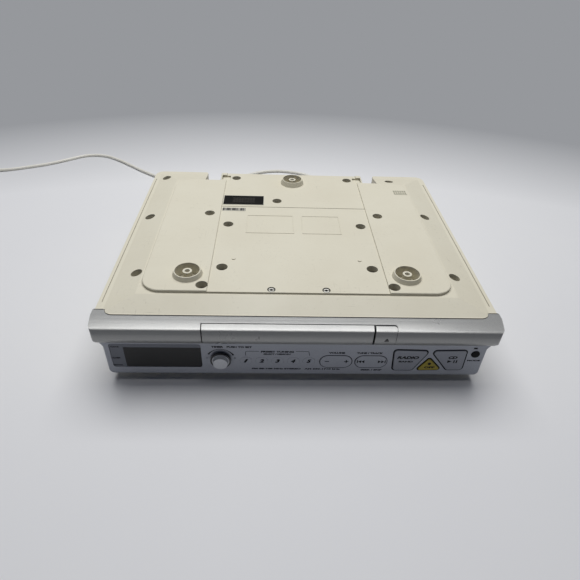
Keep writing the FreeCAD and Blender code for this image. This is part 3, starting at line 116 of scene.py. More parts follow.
def mains_lead():
    """The lead as one smooth spline: the route's points, then the coil's, then the plug's neck.

    A coil point at quarter turn q stands at the angle of 90 degrees times q plus one, at the inner radius
    plus the pitch times its distance from the change of layer, and the height climbs there from the low
    layer to the high one. The radius is enlarged by a share because the spline runs inside its points. Each
    point carries the lead's radius, so the bevel is of unit depth.
    """
    quarters = np.arange(coil_quarters * coil_points_per_quarter + 1) / coil_points_per_quarter
    angle = np.pi / 2 * (1 + quarters)
    radius = coil_inner_radius + coil_quarter_pitch * np.abs(quarters - coil_low_quarters)
    radius = radius * coil_points_share
    height = np.interp(quarters, (coil_low_quarters - 1, coil_low_quarters + 1), (coil_low, coil_high))
    x, y = coil_middle[0] + radius * np.cos(angle), coil_middle[1] + radius * np.sin(angle)
    coil = np.column_stack((x, y, height))
    points = np.vstack((lead_route, coil, lead_end)) * MM
    data = bpy.data.curves.new("lead_spline", "CURVE")
    data.dimensions = "3D"
    data.bevel_depth = 1.0
    data.bevel_resolution = 4
    data.resolution_u = 6
    data.use_fill_caps = True
    spline = data.splines.new("NURBS")
    spline.points.add(len(points) - 1)
    spline.points.foreach_set("co", np.column_stack((points, np.ones(len(points)))).ravel())
    spline.points.foreach_set("radius", np.full(len(points), lead_diameter / 2))
    spline.order_u = 3
    spline.use_endpoint_u = True
    lead = bpy.data.objects.new("lead_spline", data)
    bpy.context.collection.objects.link(lead)
    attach(lead, "case")
    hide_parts("mains_lead", "lead_coil")
    return lead


photograph_camera()
lead = mains_lead()


# Node helpers

def tone(red, green, blue):
    """A screen colour of 0 to 255 as the linear colour that a shader takes."""
    share = np.array((red, green, blue)) / 255
    linear = np.where(share > 0.04045, ((share + 0.055) / 1.055) ** 2.4, share / 12.92)
    return (*map(float, linear), 1.0)


def node(tree, kind, sockets=None, **settings):
    """A shader node whose sockets, by name or number, are joined to another socket or set to a value."""
    made = tree.nodes.new("ShaderNode" + kind)
    for key, value in settings.items():
        setattr(made, key, value)
    for key, value in (sockets or {}).items():
        if isinstance(value, bpy.types.NodeSocket):
            tree.links.new(value, made.inputs[key])
        else:
            made.inputs[key].default_value = value
    return made


def spread(tree, value, low, high, to_low=0.0, to_high=1.0):
    """Carries low to to_low and high to to_high, and holds both ends."""
    sockets = {"Value": value, "From Min": low, "From Max": high, "To Min": to_low, "To Max": to_high}
    return node(tree, "MapRange", sockets).outputs[0]


def reckon(tree, operation, first, second=0.0):
    """One step of arithmetic on sockets or values."""
    return node(tree, "Math", {0: first, 1: second}, operation=operation).outputs[0]


def blend(tree, share, first, second):
    """A colour that goes from the first to the second as the share goes from none to one."""
    return node(tree, "Mix", {0: share, 6: first, 7: second}, data_type="RGBA").outputs[2]


def noise(tree, place, size, detail=3.0, roughness=0.5):
    """A soft random value from none to one, with so many spots to a metre."""
    sockets = {"Vector": place, "Scale": size, "Detail": detail, "Roughness": roughness}
    return node(tree, "TexNoise", sockets).outputs[0]


def distance(tree, *sides):
    """The length of a vector, from its sides."""
    squares = [reckon(tree, "MULTIPLY", side, side) for side in sides]
    return reckon(tree, "SQRT", reckon(tree, "ADD", *squares))


# Effects that several finishes share

def shared_effect(name, size, result):
    """An empty node group that takes a place and a pattern size and gives one result."""
    tree = bpy.data.node_groups.new(name, "ShaderNodeTree")
    tree.interface.new_socket("Place", in_out="INPUT", socket_type="NodeSocketVector")
    tree.interface.new_socket("Size", in_out="INPUT", socket_type="NodeSocketFloat").default_value = size
    tree.interface.new_socket(result, in_out="OUTPUT", socket_type="NodeSocketFloat")
    given = tree.nodes.new("NodeGroupInput").outputs
    return tree, given["Place"], given["Size"], tree.nodes.new("NodeGroupOutput").inputs[result]


def moulding_grain():
    """Fine height of a spark-eroded mould: two noises, one about twice as fine as the other."""
    tree, place, size, result = shared_effect("moulding_grain", 1500.0, "Height")
    coarse = noise(tree, place, size, 2.0)
    fine = noise(tree, place, reckon(tree, "MULTIPLY", size, 2.3), 1.0)
    tree.links.new(reckon(tree, "ADD", coarse, reckon(tree, "MULTIPLY", fine, 0.5)), result)
    return tree


def aged_patches():
    """Soft uneven areas where a surface has yellowed or been handled."""
    tree, place, size, result = shared_effect("aged_patches", 20.0, "Mask")
    tree.links.new(spread(tree, noise(tree, place, size, 5.0, 0.6), 0.34, 0.68), result)
    return tree


def fine_scratches():
    """Thin marks in two directions: long narrow noise, kept only at its peaks and only in some areas."""
    tree, place, size, result = shared_effect("fine_scratches", 60.0, "Mask")
    marks = []
    for turn, stretch in ((0.5, (1, 26, 26)), (-0.9, (22, 1, 22))):
        sockets = {"Vector": place, "Rotation": (0, 0, turn), "Scale": stretch}
        turned = node(tree, "Mapping", sockets).outputs[0]
        marks.append(spread(tree, noise(tree, turned, size, 1.0), 0.72, 0.76))
    area = spread(tree, noise(tree, place, reckon(tree, "MULTIPLY", size, 0.3)), 0.5, 0.62)
    tree.links.new(reckon(tree, "MULTIPLY", reckon(tree, "MAXIMUM", *marks), area), result)
    return tree


def settled_dust():
    """Specks and smudges: the peaks of a fine noise within the clouds of a coarse one."""
    tree, place, size, result = shared_effect("settled_dust", 400.0, "Mask")
    specks = spread(tree, noise(tree, place, size, 2.0), 0.60, 0.72)
    cloud = spread(tree, noise(tree, place, reckon(tree, "MULTIPLY", size, 0.06)), 0.42, 0.66)
    tree.links.new(reckon(tree, "MULTIPLY", specks, cloud), result)
    return tree


def paint_flakes():
    """Bright flakes in metal paint: a value of its own for each cell of a fine cell pattern."""
    tree, place, size, result = shared_effect("paint_flakes", 4000.0, "Glint")
    cells = node(tree, "TexVoronoi", {"Vector": place, "Scale": size}).outputs["Color"]
    tree.links.new(node(tree, "SeparateColor", {0: cells}).outputs[0], result)
    return tree


GRAIN, PATCHES, SCRATCHES, DUST, FLAKES = (
    moulding_grain(), aged_patches(), fine_scratches(), settled_dust(), paint_flakes())


class Finish:
    """A material on Object coordinates with one Principled shader, filled in step by step."""

    # Painted shade, with some dirt, in corners and hollows: how far it looks, the openness where it is full
    # and where it ends, and its rays
    grime_reach = 5.0 * MM
    grime_shut, grime_open = 0.20, 0.70
    grime_rays = 8

    def __init__(self, name, **plain):
        self.material = bpy.data.materials.new(name)
        self.material.use_nodes = True
        self.tree = self.material.node_tree
        self.shader = self.tree.nodes["Principled BSDF"]
        self.place = node(self.tree, "TexCoord").outputs["Object"]
        for key, value in plain.items():
            self.shader.inputs[key.replace("_", " ")].default_value = value

    def effect(self, group, size):
        """The result of a shared effect at a pattern size."""
        made = node(self.tree, "Group", node_tree=group)
        self.tree.links.new(self.place, made.inputs["Place"])
        made.inputs["Size"].default_value = size
        return made.outputs[0]

    def feed(self, socket, value):
        """Joins a value to one of the shader's sockets."""
        self.tree.links.new(value, self.shader.inputs[socket])

    def bump(self, height, depth, strength=0.5):
        """Adds a height to the surface, on top of the one that was added before."""
        made = node(self.tree, "Bump", {"Height": height, "Distance": depth, "Strength": strength})
        for link in self.shader.inputs["Normal"].links:
            self.tree.links.new(link.from_socket, made.inputs["Normal"])
        self.feed("Normal", made.outputs[0])

    def axis(self, number, middle=0.0):
        """One coordinate, measured from a middle."""
        value = node(self.tree, "SeparateXYZ", {0: self.place}).outputs[number]
        return reckon(self.tree, "SUBTRACT", value, middle)

    def across(self, name, number):
        """One coordinate, measured from the middle of a node."""
        low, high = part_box(name)
        return self.axis(number, (low[number] + high[number]) / 2)

    def grime(self, colour, dirt_and_shade_colour, strength):
        """Darkens a colour in corners and hollows, where little of the open air is near: painted shade, with
        some dirt.
        """
        near = node(self.tree, "AmbientOcclusion", {"Distance": self.grime_reach}, samples=self.grime_rays)
        share = spread(self.tree, near.outputs["AO"], self.grime_shut, self.grime_open, strength, 0.0)
        return blend(self.tree, share, colour, tone(*dirt_and_shade_colour))

    def patchy(self, socket, size, fresh, aged):
        """Feeds a socket with a value that drifts between two over soft patches."""
        self.feed(socket, spread(self.tree, self.effect(PATCHES, size), 0.0, 1.0, fresh, aged))


# Sizes and colours of dust and scratches, of the painted shade and dirt in hollows, and of the flakes and
# handled patches of paint and metal
dust_size, dust_tone = 420.0, (118, 110, 92)
scratch_size, scratch_tone = 42.0, (138, 132, 116)
corner_dirt_and_shade, silver_dirt_and_shade = (104, 98, 78), (40, 40, 43)
flake_size = 5200.0
silver_patch, silver_grain, silver_depth = 26.0, 2600.0, 0.012 * MM
metal_patch, metal_depth = 60.0, 0.02 * MM


def moulded(name, fresh, aged, rough=(0.42, 0.58), patch=16.0, grain=1400.0, depth=0.05, dust=0.0,
            scratch=0.0, grime=0.0, **plain):
    """Moulded plastic or rubber: patches of an aged colour, dust, scratches, painted shade and dirt in
    corners, and a grain.
    """
    made = Finish(name, **plain)
    tree = made.tree
    colour = blend(tree, made.effect(PATCHES, patch), tone(*fresh), tone(*aged))
    if dust:
        specks = reckon(tree, "MULTIPLY", made.effect(DUST, dust_size), dust)
        colour = blend(tree, specks, colour, tone(*dust_tone))
    if scratch:
        marks = reckon(tree, "MULTIPLY", made.effect(SCRATCHES, scratch_size), scratch)
        colour = blend(tree, marks, colour, tone(*scratch_tone))
    # Painted shade, with some dirt, darkens the corners and hollows
    if grime:
        colour = made.grime(colour, corner_dirt_and_shade, grime)
    made.feed("Base Color", colour)
    made.patchy("Roughness", patch, *rough)
    made.bump(made.effect(GRAIN, grain), depth * MM)
    return made


def metal(name, bright, dull, rough=(0.22, 0.4), brushed=(1.0, 1.0, 1.0), size=300.0, **plain):
    """Bare or plated metal: brushed along one axis by stretching the grain, and duller in handled patches."""
    made = Finish(name, Metallic=1.0, **plain)
    tree = made.tree
    stretched = node(tree, "Mapping", {"Vector": made.place, "Scale": brushed}).outputs[0]
    grain = noise(tree, stretched, size, 3.0)
    share = reckon(tree, "MULTIPLY", reckon(tree, "ADD", grain, made.effect(PATCHES, metal_patch)), 0.5)
    made.feed("Base Color", blend(tree, share, tone(*bright), tone(*dull)))
    made.feed("Roughness", spread(tree, share, 0.2, 0.8, *rough))
    made.bump(grain, metal_depth)
    return made


def flake_paint(name, light, dark, rough, metallic, grime=0.0):
    """Silver paint: flakes that differ in brightness, satin where handled, under a thin clear coat."""
    made = Finish(name, Metallic=metallic, Coat_Weight=0.1, Coat_Roughness=0.3)
    tree = made.tree
    colour = blend(tree, made.effect(FLAKES, flake_size), tone(*dark), tone(*light))
    # Painted shade, with some dirt, darkens the hollows of the paint
    if grime:
        colour = made.grime(colour, silver_dirt_and_shade, grime)
    made.feed("Base Color", colour)
    made.patchy("Roughness", silver_patch, *rough)
    made.bump(made.effect(GRAIN, silver_grain), silver_depth)
    return made


def round_nose(made):
    """A fuller look for the bar's upright face: a bulge that falls off as the square of the height."""
    away = reckon(made.tree, "DIVIDE", made.axis(2, nose_height), nose_reach)
    fall = reckon(made.tree, "MULTIPLY", reckon(made.tree, "MULTIPLY", away, away), -1.0)
    made.bump(fall, nose_bulge, 1.0)


# Finishes

cream = (214, 209, 190), (207, 201, 181), (0.50, 0.62)
# Case, base, bar and panel: the last number is how strongly painted shade, with some dirt, darkens their
# hollows
case_cream = moulded("case_cream", *cream, patch=9.0, dust=0.15, scratch=0.25, grime=0.75)
base_cream = moulded("base_cream", *cream, patch=12.0, dust=0.12, scratch=0.12, grime=0.75)
bar_silver = flake_paint("bar_silver", (163, 163, 160), (147, 147, 146), (0.27, 0.33), 0.45, 0.9)
round_nose(bar_silver)
panel_silver = flake_paint("panel_silver", (162, 165, 172), (144, 147, 155), (0.38, 0.46), 0.35, 0.5)
key_silver = flake_paint("key_silver", (144, 147, 154), (126, 129, 137), (0.38, 0.46), 0.35)
deep_black = (5, 5, 6), (9, 9, 10), (0.6, 0.7)
rim_black = moulded("rim_black", *deep_black, Specular_IOR_Level=0.15)
off_yellow = moulded("off_yellow", (158, 142, 36), (142, 126, 28), (0.5, 0.6), patch=60.0)
mode_black = moulded("mode_black", *deep_black, Specular_IOR_Level=0.15)
dark_plastic = moulded("dark_plastic", (38, 39, 41), (48, 49, 50), (0.45, 0.6))
tray_grey = moulded("tray_grey", (62, 63, 66), (72, 73, 75), (0.45, 0.6), dust=0.2)
frame_grey = moulded("frame_grey", (96, 97, 99), (84, 85, 87), (0.5, 0.65))
guide_white = moulded("guide_white", (226, 228, 226), (214, 216, 212), (0.3, 0.4))
lead_pale = moulded("lead_pale", (220, 218, 209), (210, 207, 196), (0.42, 0.55), patch=40.0, grain=2600.0)
insert_pale = moulded("insert_pale", (232, 228, 212), (222, 217, 199), (0.42, 0.55), patch=60.0)
tie_pale = moulded("tie_pale", (206, 206, 202), (196, 195, 190), (0.4, 0.5), patch=60.0)
coil_tape = moulded("coil_tape", (206, 168, 66), (186, 148, 52), (0.3, 0.45), patch=90.0)
sleeve_black = moulded("sleeve_black", (22, 24, 30), (30, 32, 38), (0.28, 0.4), patch=90.0)
cone_paper = moulded("cone_paper", (34, 33, 32), (48, 46, 43), (0.7, 0.85), patch=120.0, grain=900.0,
                     depth=0.12)
ferrite = moulded("ferrite", (52, 51, 51), (64, 62, 61), (0.55, 0.7), patch=120.0)
black_ink = moulded("black_ink", (8, 8, 9), (18, 18, 20), (0.6, 0.7), patch=260.0, Specular_IOR_Level=0.2)
grey_ink = moulded("grey_ink", (146, 143, 124), (162, 159, 140), (0.55, 0.7), patch=260.0)
screw_steel = metal("screw_steel", (150, 148, 140), (104, 102, 94), (0.35, 0.5))
rod_steel = metal("rod_steel", (206, 207, 208), (180, 181, 183), (0.12, 0.22), (60.0, 1.0, 60.0))
blade_nickel = metal("blade_nickel", (206, 200, 184), (180, 174, 160), (0.2, 0.32), (40.0, 1.0, 40.0))
can_tin = metal("can_tin", (190, 192, 194), (166, 168, 170), (0.28, 0.42))
core_steel = metal("core_steel", (104, 102, 100), (74, 72, 70), (0.45, 0.6), (1.0, 1.0, 90.0))
sink_black = metal("sink_black", (58, 58, 60), (44, 44, 46), (0.45, 0.6), (1.0, 60.0, 1.0))


def board_green():
    """Circuit board: a lighter green along the edges of a cell pattern, as copper under the lacquer."""
    made = Finish("board_green", Coat_Weight=0.3)
    tree = made.tree
    lacquer, lacquer_on_copper = tone(24, 78, 48), tone(58, 122, 74)
    copper_depth = 0.03 * MM
    sockets = {"Vector": made.place, "Scale": 160.0, "Randomness": 0.6}
    edge = node(tree, "TexVoronoi", sockets, feature="DISTANCE_TO_EDGE").outputs[0]
    track = spread(tree, edge, 0.05, 0.09, 1.0, 0.0)
    made.feed("Base Color", blend(tree, track, lacquer, lacquer_on_copper))
    made.patchy("Roughness", 80.0, 0.3, 0.45)
    made.bump(track, copper_depth)
    return made


def window_smoke():
    """Display window: black over the display, and a grey margin beside and above it, under a clear gloss."""
    made = Finish("window_smoke", Specular_IOR_Level=0.35)
    tree = made.tree
    soft_edge = 0.2 * MM
    margin_grey = tone(104, 107, 114)
    beside = spread(tree, made.axis(0, display_left * MM), soft_edge, -soft_edge)
    above = spread(tree, made.axis(2, display_top * MM), -soft_edge, soft_edge)
    margin = reckon(tree, "MAXIMUM", beside, above)
    depth = blend(tree, made.effect(PATCHES, 40.0), tone(6, 7, 9), tone(10, 11, 13))
    made.feed("Base Color", blend(tree, margin, depth, margin_grey))
    made.feed("Roughness", spread(tree, margin, 0.0, 1.0, 0.2, 0.42))
    made.feed("Metallic", spread(tree, margin, 0.0, 1.0, 0.0, 0.4))
    return made


def knob_silver():
    """Timer knob: silver out to its grip, black on the skirt behind it, by distance from the knob's axis."""
    made = Finish("knob_silver", Coat_Weight=0.15, Coat_Roughness=0.3)
    tree = made.tree
    radius = distance(tree, made.across("timer_knob", 0), made.across("timer_knob", 2))
    grip_radius, skirt_radius = 6.5 * MM, 6.9 * MM
    skirt_black = tone(20, 21, 23)
    skirt = spread(tree, radius, grip_radius, skirt_radius)
    silver = blend(tree, made.effect(FLAKES, flake_size), tone(172, 174, 178), tone(196, 198, 201))
    made.feed("Base Color", blend(tree, skirt, silver, skirt_black))
    made.feed("Metallic", spread(tree, skirt, 0.0, 1.0, 0.4, 0.0))
    made.patchy("Roughness", 80.0, 0.36, 0.46)
    return made


def label_black():
    """Black label: a thin pale border by distance from its sides, and rows of grey dashes in its middle."""
    made = Finish("label_black", Specular_IOR_Level=0.1)
    tree = made.tree
    border, border_in, soft_edge = 0.5 * MM, 0.7 * MM, 0.2 * MM
    border_pale = tone(206, 203, 188)
    dashes_half = 11.0 * MM, 5.2 * MM
    foil_grain, foil_depth = 900.0, 0.02 * MM
    low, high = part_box("rating_label")
    edges, middles = [], []
    for number, reach in enumerate(dashes_half):
        away = reckon(tree, "ABSOLUTE", made.across("rating_label", number))
        half = (high[number] - low[number]) / 2
        edges.append(spread(tree, away, half - border_in, half - border))
        middles.append(spread(tree, away, reach, reach + soft_edge, 1.0, 0.0))
    black = blend(tree, made.effect(PATCHES, 70.0), tone(8, 8, 7), tone(14, 13, 12))
    sockets = {"Vector": made.place, "Scale": 1 / MM, "Brick Width": 5.5, "Row Height": 1.5,
               "Mortar Size": 0.55, "Color1": tone(74, 71, 66), "Color2": tone(50, 48, 44),
               "Mortar": tone(20, 19, 18)}
    dashes = node(tree, "TexBrick", sockets).outputs[0]
    black = blend(tree, reckon(tree, "MULTIPLY", *middles), black, dashes)
    made.feed("Base Color", blend(tree, reckon(tree, "MAXIMUM", *edges), black, border_pale))
    made.patchy("Roughness", 90.0, 0.55, 0.7)
    made.bump(made.effect(GRAIN, foil_grain), foil_depth)
    return made


def sticker_white():
    """Small paper sticker with dark upright bars of uneven width: a noise along its length cut at a level."""
    made = Finish("sticker_white")
    tree = made.tree
    bars_to_a_metre = 900.0
    row_half, row_end = 2.4 * MM, 2.6 * MM
    bar_dark = tone(58, 56, 52)
    along = node(tree, "CombineXYZ", {0: made.axis(0)}).outputs[0]
    bars = spread(tree, noise(tree, along, bars_to_a_metre, 1.0), 0.42, 0.46)
    away = reckon(tree, "ABSOLUTE", made.across("code_sticker", 1))
    row = spread(tree, away, row_half, row_end, 1.0, 0.0)
    paper = blend(tree, made.effect(PATCHES, 120.0), tone(206, 203, 190), tone(190, 186, 172))
    made.feed("Base Color", blend(tree, reckon(tree, "MULTIPLY", bars, row), paper, bar_dark))
    made.patchy("Roughness", 90.0, 0.5, 0.7)
    return made


def bar_screw_bright():
    """Bar's screws: a bright head with a dark socket and rim, by distance from the nearer screw's axis."""
    made = Finish("bar_screw_bright")
    tree = made.tree
    socket_share, rim_share = (0.42, 0.48), (0.82, 0.90)
    shade = tone(18, 17, 16)
    low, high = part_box("bar_screws")
    head = (high[1] - low[1]) / 2
    aside = reckon(tree, "ABSOLUTE", made.across("bar_screws", 0))
    aside = reckon(tree, "SUBTRACT", aside, (high[0] - low[0]) / 2 - head)
    radius = distance(tree, aside, made.across("bar_screws", 1))
    socket = spread(tree, radius, *[share * head for share in socket_share], 1.0, 0.0)
    rim = spread(tree, radius, *[share * head for share in rim_share])
    steel = blend(tree, made.effect(PATCHES, 200.0), tone(226, 224, 214), tone(206, 203, 192))
    made.feed("Base Color", blend(tree, reckon(tree, "MAXIMUM", socket, rim), steel, shade))
    made.patchy("Roughness", 90.0, 0.3, 0.45)
    return made


def pickup_lens():
    """Pickup: dark body with a small blue-green lens at its top, by distance from the middle."""
    made = Finish("pickup_dark", Coat_Weight=0.2)
    tree = made.tree
    radius = distance(tree, made.across("pickup", 0), made.across("pickup", 1))
    lens_radius, lens_edge = 1.8 * MM, 2.1 * MM
    lens_low, lens_high = -1.2 * MM, -1.0 * MM
    lens_blue = tone(60, 110, 150)
    near_top = spread(tree, made.axis(2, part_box("pickup")[1][2]), lens_low, lens_high)
    lens = reckon(tree, "MULTIPLY", spread(tree, radius, lens_edge, lens_radius), near_top)
    body = blend(tree, made.effect(PATCHES, 90.0), tone(40, 41, 44), tone(54, 55, 58))
    made.feed("Base Color", blend(tree, lens, body, lens_blue))
    made.feed("Roughness", spread(tree, lens, 0.0, 1.0, 0.5, 0.08))
    return made


def display_glass():
    """Unlit display: grey-green glass with the faint grid of its segments."""
    made = Finish("display_glass", Coat_Weight=0.5)
    sockets = {"Vector": made.place, "Scale": 120.0, "Color1": tone(58, 62, 56), "Color2": tone(62, 66, 60),
               "Mortar": tone(50, 54, 50)}
    made.feed("Base Color", node(made.tree, "TexBrick", sockets).outputs[0])
    made.patchy("Roughness", 60.0, 0.12, 0.2)
    return made


preset_keys = [f"preset_key_{number}" for number in range(1, 6)]
finish_of = {
    case_cream: ("top_cover",),
    base_cream: ("bottom_cover",),
    bar_silver: ("front_bar", "tray_front", "open_button"),
    panel_silver: ("front_panel", "volume_rocker", "tune_rocker", *preset_keys),
    key_silver: ("radio_button", "cd_button"),
    rim_black: ("key_bezels",),
    off_yellow: ("off_button",),
    mode_black: ("mode_button",),
    knob_silver(): ("timer_knob",),
    window_smoke(): ("display_window",),
    display_glass(): ("lcd_glass",),
    guide_white: ("lcd_backlight",),
    board_green(): ("control_board", "main_board"),
    dark_plastic: ("tact_switches", "encoder_body", "encoder_plunger", "tray_latch", "turntable"),
    tray_grey: ("disc_tray",),
    frame_grey: ("drive_frame",),
    pickup_lens(): ("pickup",),
    screw_steel: ("case_screws", "drive_screws", "board_screws", "encoder_shaft", "spindle_motor"),
    bar_screw_bright(): ("bar_screws",),
    rod_steel: ("guide_rods",),
    insert_pale: ("mount_inserts",),
    can_tin: ("tuner_can", "speaker_basket_left", "speaker_basket_right"),
    core_steel: ("transformer_core",),
    coil_tape: ("transformer_coil",),
    sink_black: ("heat_sink",),
    sleeve_black: ("filter_capacitors",),
    cone_paper: ("speaker_cone_left", "speaker_cone_right"),
    ferrite: ("speaker_magnet_left", "speaker_magnet_right"),
    label_black(): ("rating_label",),
    sticker_white(): ("code_sticker",),
    lead_pale: ("strain_relief", "mains_plug", "mains_lead", "lead_coil"),
    tie_pale: ("coil_tie",),
    blade_nickel: ("plug_blades",),
}
for finish, names in finish_of.items():
    for name in names:
        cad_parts[name].material_slots[0].material = finish.material
lead.data.materials.append(lead_pale.material)


# Printed marks: flat drawings in millimetres, stood on a face that looks to the front or up

letter_weight = 0.06
FRONT = np.array(((1, 0, 0), (0, 0, 1), (0, -1, 0)))
TOP = np.eye(3)


class Sheet:
    """A face to print on: its directions across, up and outward, and how far out it lies."""

    def __init__(self, directions, level):
        self.directions = directions
        self.level = level

    def stand(self, flat, lift):
        """Points across and up the face, in millimetres, lifted off it."""
        flat = np.asarray(flat, float)
        out = np.broadcast_to(self.level + lift, len(flat))
        return np.column_stack((flat * MM, out)) @ self.directions

    def solid(self, flat, rings):
        """A flat outline given the ink's thickness: front and back faces and a wall between its points."""
        count = len(flat)
        points = np.vstack((self.stand(flat, ink), self.stand(flat, -ink)))
        first = np.arange(count)
        second = (first + 1) % count
        walls = np.column_stack((first, first + count, second + count, second)).tolist()
        return points, rings + [[corner + count for corner in ring[::-1]] for ring in rings] + walls

    def patch(self, outline):
        """A filled shape: its outline, anticlockwise as it is looked at."""
        return self.solid(outline, [list(range(len(outline)))])

    def line(self, path, width):
        """A line of one width, or one for each point: the path moved to both sides, square to its run."""
        path = np.asarray(path, float)
        ahead = np.gradient(path, axis=0)
        ahead = ahead / np.linalg.norm(ahead, axis=1, keepdims=True)
        side = np.column_stack((ahead[:, 1], -ahead[:, 0])) * np.broadcast_to(width, len(path))[:, None] / 2
        count = len(path)
        first = np.arange(count - 1)
        last = 2 * count - 1
        quads = np.column_stack((first, first + 1, last - first - 1, last - first)).tolist()
        return self.solid(np.vstack((path + side, (path - side)[::-1])), quads)

    def words(self, text, left, right, middle, tall, lean=0.0):
        """Letters set by Blender, stretched to run from left to right at a height, and stood on the face."""
        data = bpy.data.curves.new("letters", "FONT")
        data.body = text
        data.shear = lean
        data.extrude = 0.5
        data.offset = letter_weight
        data.resolution_u = 3
        held = bpy.data.objects.new("letters", data)
        bpy.context.collection.objects.link(held)
        shown = held.evaluated_get(bpy.context.evaluated_depsgraph_get())
        shape = bpy.data.meshes.new_from_object(shown)
        points = np.empty(3 * len(shape.vertices))
        shape.vertices.foreach_get("co", points)
        points = points.reshape(-1, 3)
        faces = [list(face.vertices) for face in shape.polygons]
        bpy.data.objects.remove(held)
        bpy.data.meshes.remove(shape)
        low, high = points.min(0), points.max(0)
        share = (points - low) / (high - low)
        flat = np.column_stack((left + share[:, 0] * (right - left), middle + (share[:, 1] - 0.5) * tall))
        return self.stand(flat, (2 * share[:, 2] - 1) * ink), faces


arc_points = 40


def arc(middle, radius, start, end, count=arc_points):
    """Points on a circle between two angles in degrees: the middle plus the radius times cosine and sine."""
    angle = np.radians(np.linspace(start, end, count))
    return np.column_stack((middle[0] + radius * np.cos(angle), middle[1] + radius * np.sin(angle)))


def block(left, right, low, high):
    """The corners of an upright rectangle, anticlockwise."""
    return [(left, low), (right, low), (right, high), (left, high)]


def front_of(name):
    """The face to print on at the front of a node."""
    return Sheet(FRONT, -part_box(name)[0][1])


def printed(name, marks, body, finish=black_ink):
    """One piece from several marks, riding on the body that carries them."""
    starts = np.cumsum([0] + [len(points) for points, _ in marks])
    faces = [[start + corner for corner in face] for start, (_, mark) in zip(starts, marks) for face in mark]
    mesh = bpy.data.meshes.new(name)
    mesh.from_pydata(np.vstack([points for points, _ in marks]), [], faces)
    mesh.materials.append(finish.material)
    piece = bpy.data.objects.new(name, mesh)
    bpy.context.collection.objects.link(piece)
    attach(piece, body)


def ends_of(middle, half):
    """The two ends of a short line about its middle."""
    return middle - half, middle + half


# Panel: words (their left and right ends, the height of their middle and of the letters), signs and outlines
panel_words = (
    ("TIMER   PUSH TO SET", -66.8, -35.6, 39.4, 1.9),
    ("PRESET TUNING", -28.7, -3.1, 34.6, 1.9),
    ("SELECT / MEMORY", -26.8, -5.0, 32.0, 1.6),
    ("VOLUME", 24.2, 36.9, 33.9, 1.9),
    ("TUNE / TRACK", 46.2, 66.8, 33.9, 1.9),
    ("FM 88-108 MHz STEREO   AM 530-1710 kHz", -35.9, 34.7, 15.6, 1.7),
    ("SEEK / SKIP", 51.4, 68.6, 14.9, 1.7),
    ("MODE", 135.6, 146.2, 26.5, 1.6),
)
line_width = 0.4
timer_middle = (-60.0, 26.0)
timer_arc_radius = 10.8
timer_arc_ends = (24, 151)
timer_arc_width = 1.1
timer_minus, timer_plus = (-70.7, 27.2), (-49.0, 27.4)
sign_half = 0.8
bracket_left = [(-40.7, 30.3), (-40.6, 34.4), (-39.9, 35.0), (-30.2, 35.0)]
bracket_right = [(-1.6, 35.2), (7.6, 35.2), (8.5, 34.7), (9.2, 30.8)]
mode_sign = block(137.6, 140.6, 39.1, 40.9)

rocker_middle, rocker_half = 24.7, 6.25
rocker_outline_gap, rocker_outline_drop, rocker_outline_width = 0.6, 0.4, 0.45


def rocker_outline(name):
    """The outline of a rocker's opening: two half circles about its ends, joined by straight runs."""
    low, high = np.array(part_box(name)) / MM
    reach = rocker_half + rocker_outline_gap
    middle = rocker_middle - rocker_outline_drop
    right = arc((high[0] - rocker_half, middle), reach, -90, 90)
    left = arc((low[0] + rocker_half, middle), reach, 90, 270)
    return np.vstack((right, left, right[:2]))


panel = front_of("front_panel")
swell = np.abs(np.linspace(-1, 1, arc_points)) ** 3
panel_marks = [
    panel.line(arc(timer_middle, timer_arc_radius, *timer_arc_ends), line_width + timer_arc_width * swell),
    panel.line([(x, timer_minus[1]) for x in ends_of(timer_minus[0], sign_half)], line_width),
    panel.line([(x, timer_plus[1]) for x in ends_of(timer_plus[0], sign_half)], line_width),
    panel.line([(timer_plus[0], z) for z in ends_of(timer_plus[1], sign_half)], line_width),
    panel.line(bracket_left, line_width),
    panel.line(bracket_right, line_width),
    panel.patch(mode_sign),
    *[panel.line(rocker_outline(name), rocker_outline_width) for name in ("volume_rocker", "tune_rocker")],
    *[panel.words(*row) for row in panel_words],
]
printed("panel_print", panel_marks, "case")

# Display window: two words and a line in its grey margin
window_words = (("CLOCK", -143.1, -136.3, 38.4, 1.5), ("ALARM", -143.8, -137.7, 26.4, 1.5))
window_line = [(-145.0, 18.6), (-137.0, 18.6)]
window = front_of("display_window")
window_marks = [window.line(window_line, 2 * line_width), *[window.words(*row) for row in window_words]]
printed("window_print", window_marks, "case")

# Digits in the middle of the preset keys
digit_half, digit_tall, digit_lean = 1.9, 3.9, 0.3
for number, key in enumerate(preset_keys, 1):
    low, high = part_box(key)
    x, z = (low[0] + high[0]) / 2 / MM, (low[2] + high[2]) / 2 / MM
    digit = front_of(key).words(str(number), *ends_of(x, digit_half), z, digit_tall, digit_lean)
    printed(f"{key}_digit", [digit], key)

# Minus and plus on the volume rocker
minus_middle, plus_middle, rocker_sign_half, rocker_line = 23.3, 38.7, 1.7, 0.8
face = front_of("volume_rocker")
volume_marks = [
    face.line([(x, rocker_middle) for x in ends_of(minus_middle, rocker_sign_half)], rocker_line),
    face.line([(x, rocker_middle) for x in ends_of(plus_middle, rocker_sign_half)], rocker_line),
    face.line([(plus_middle, z) for z in ends_of(rocker_middle, rocker_sign_half)], rocker_line),
]
printed("volume_marks", volume_marks, "volume_rocker")

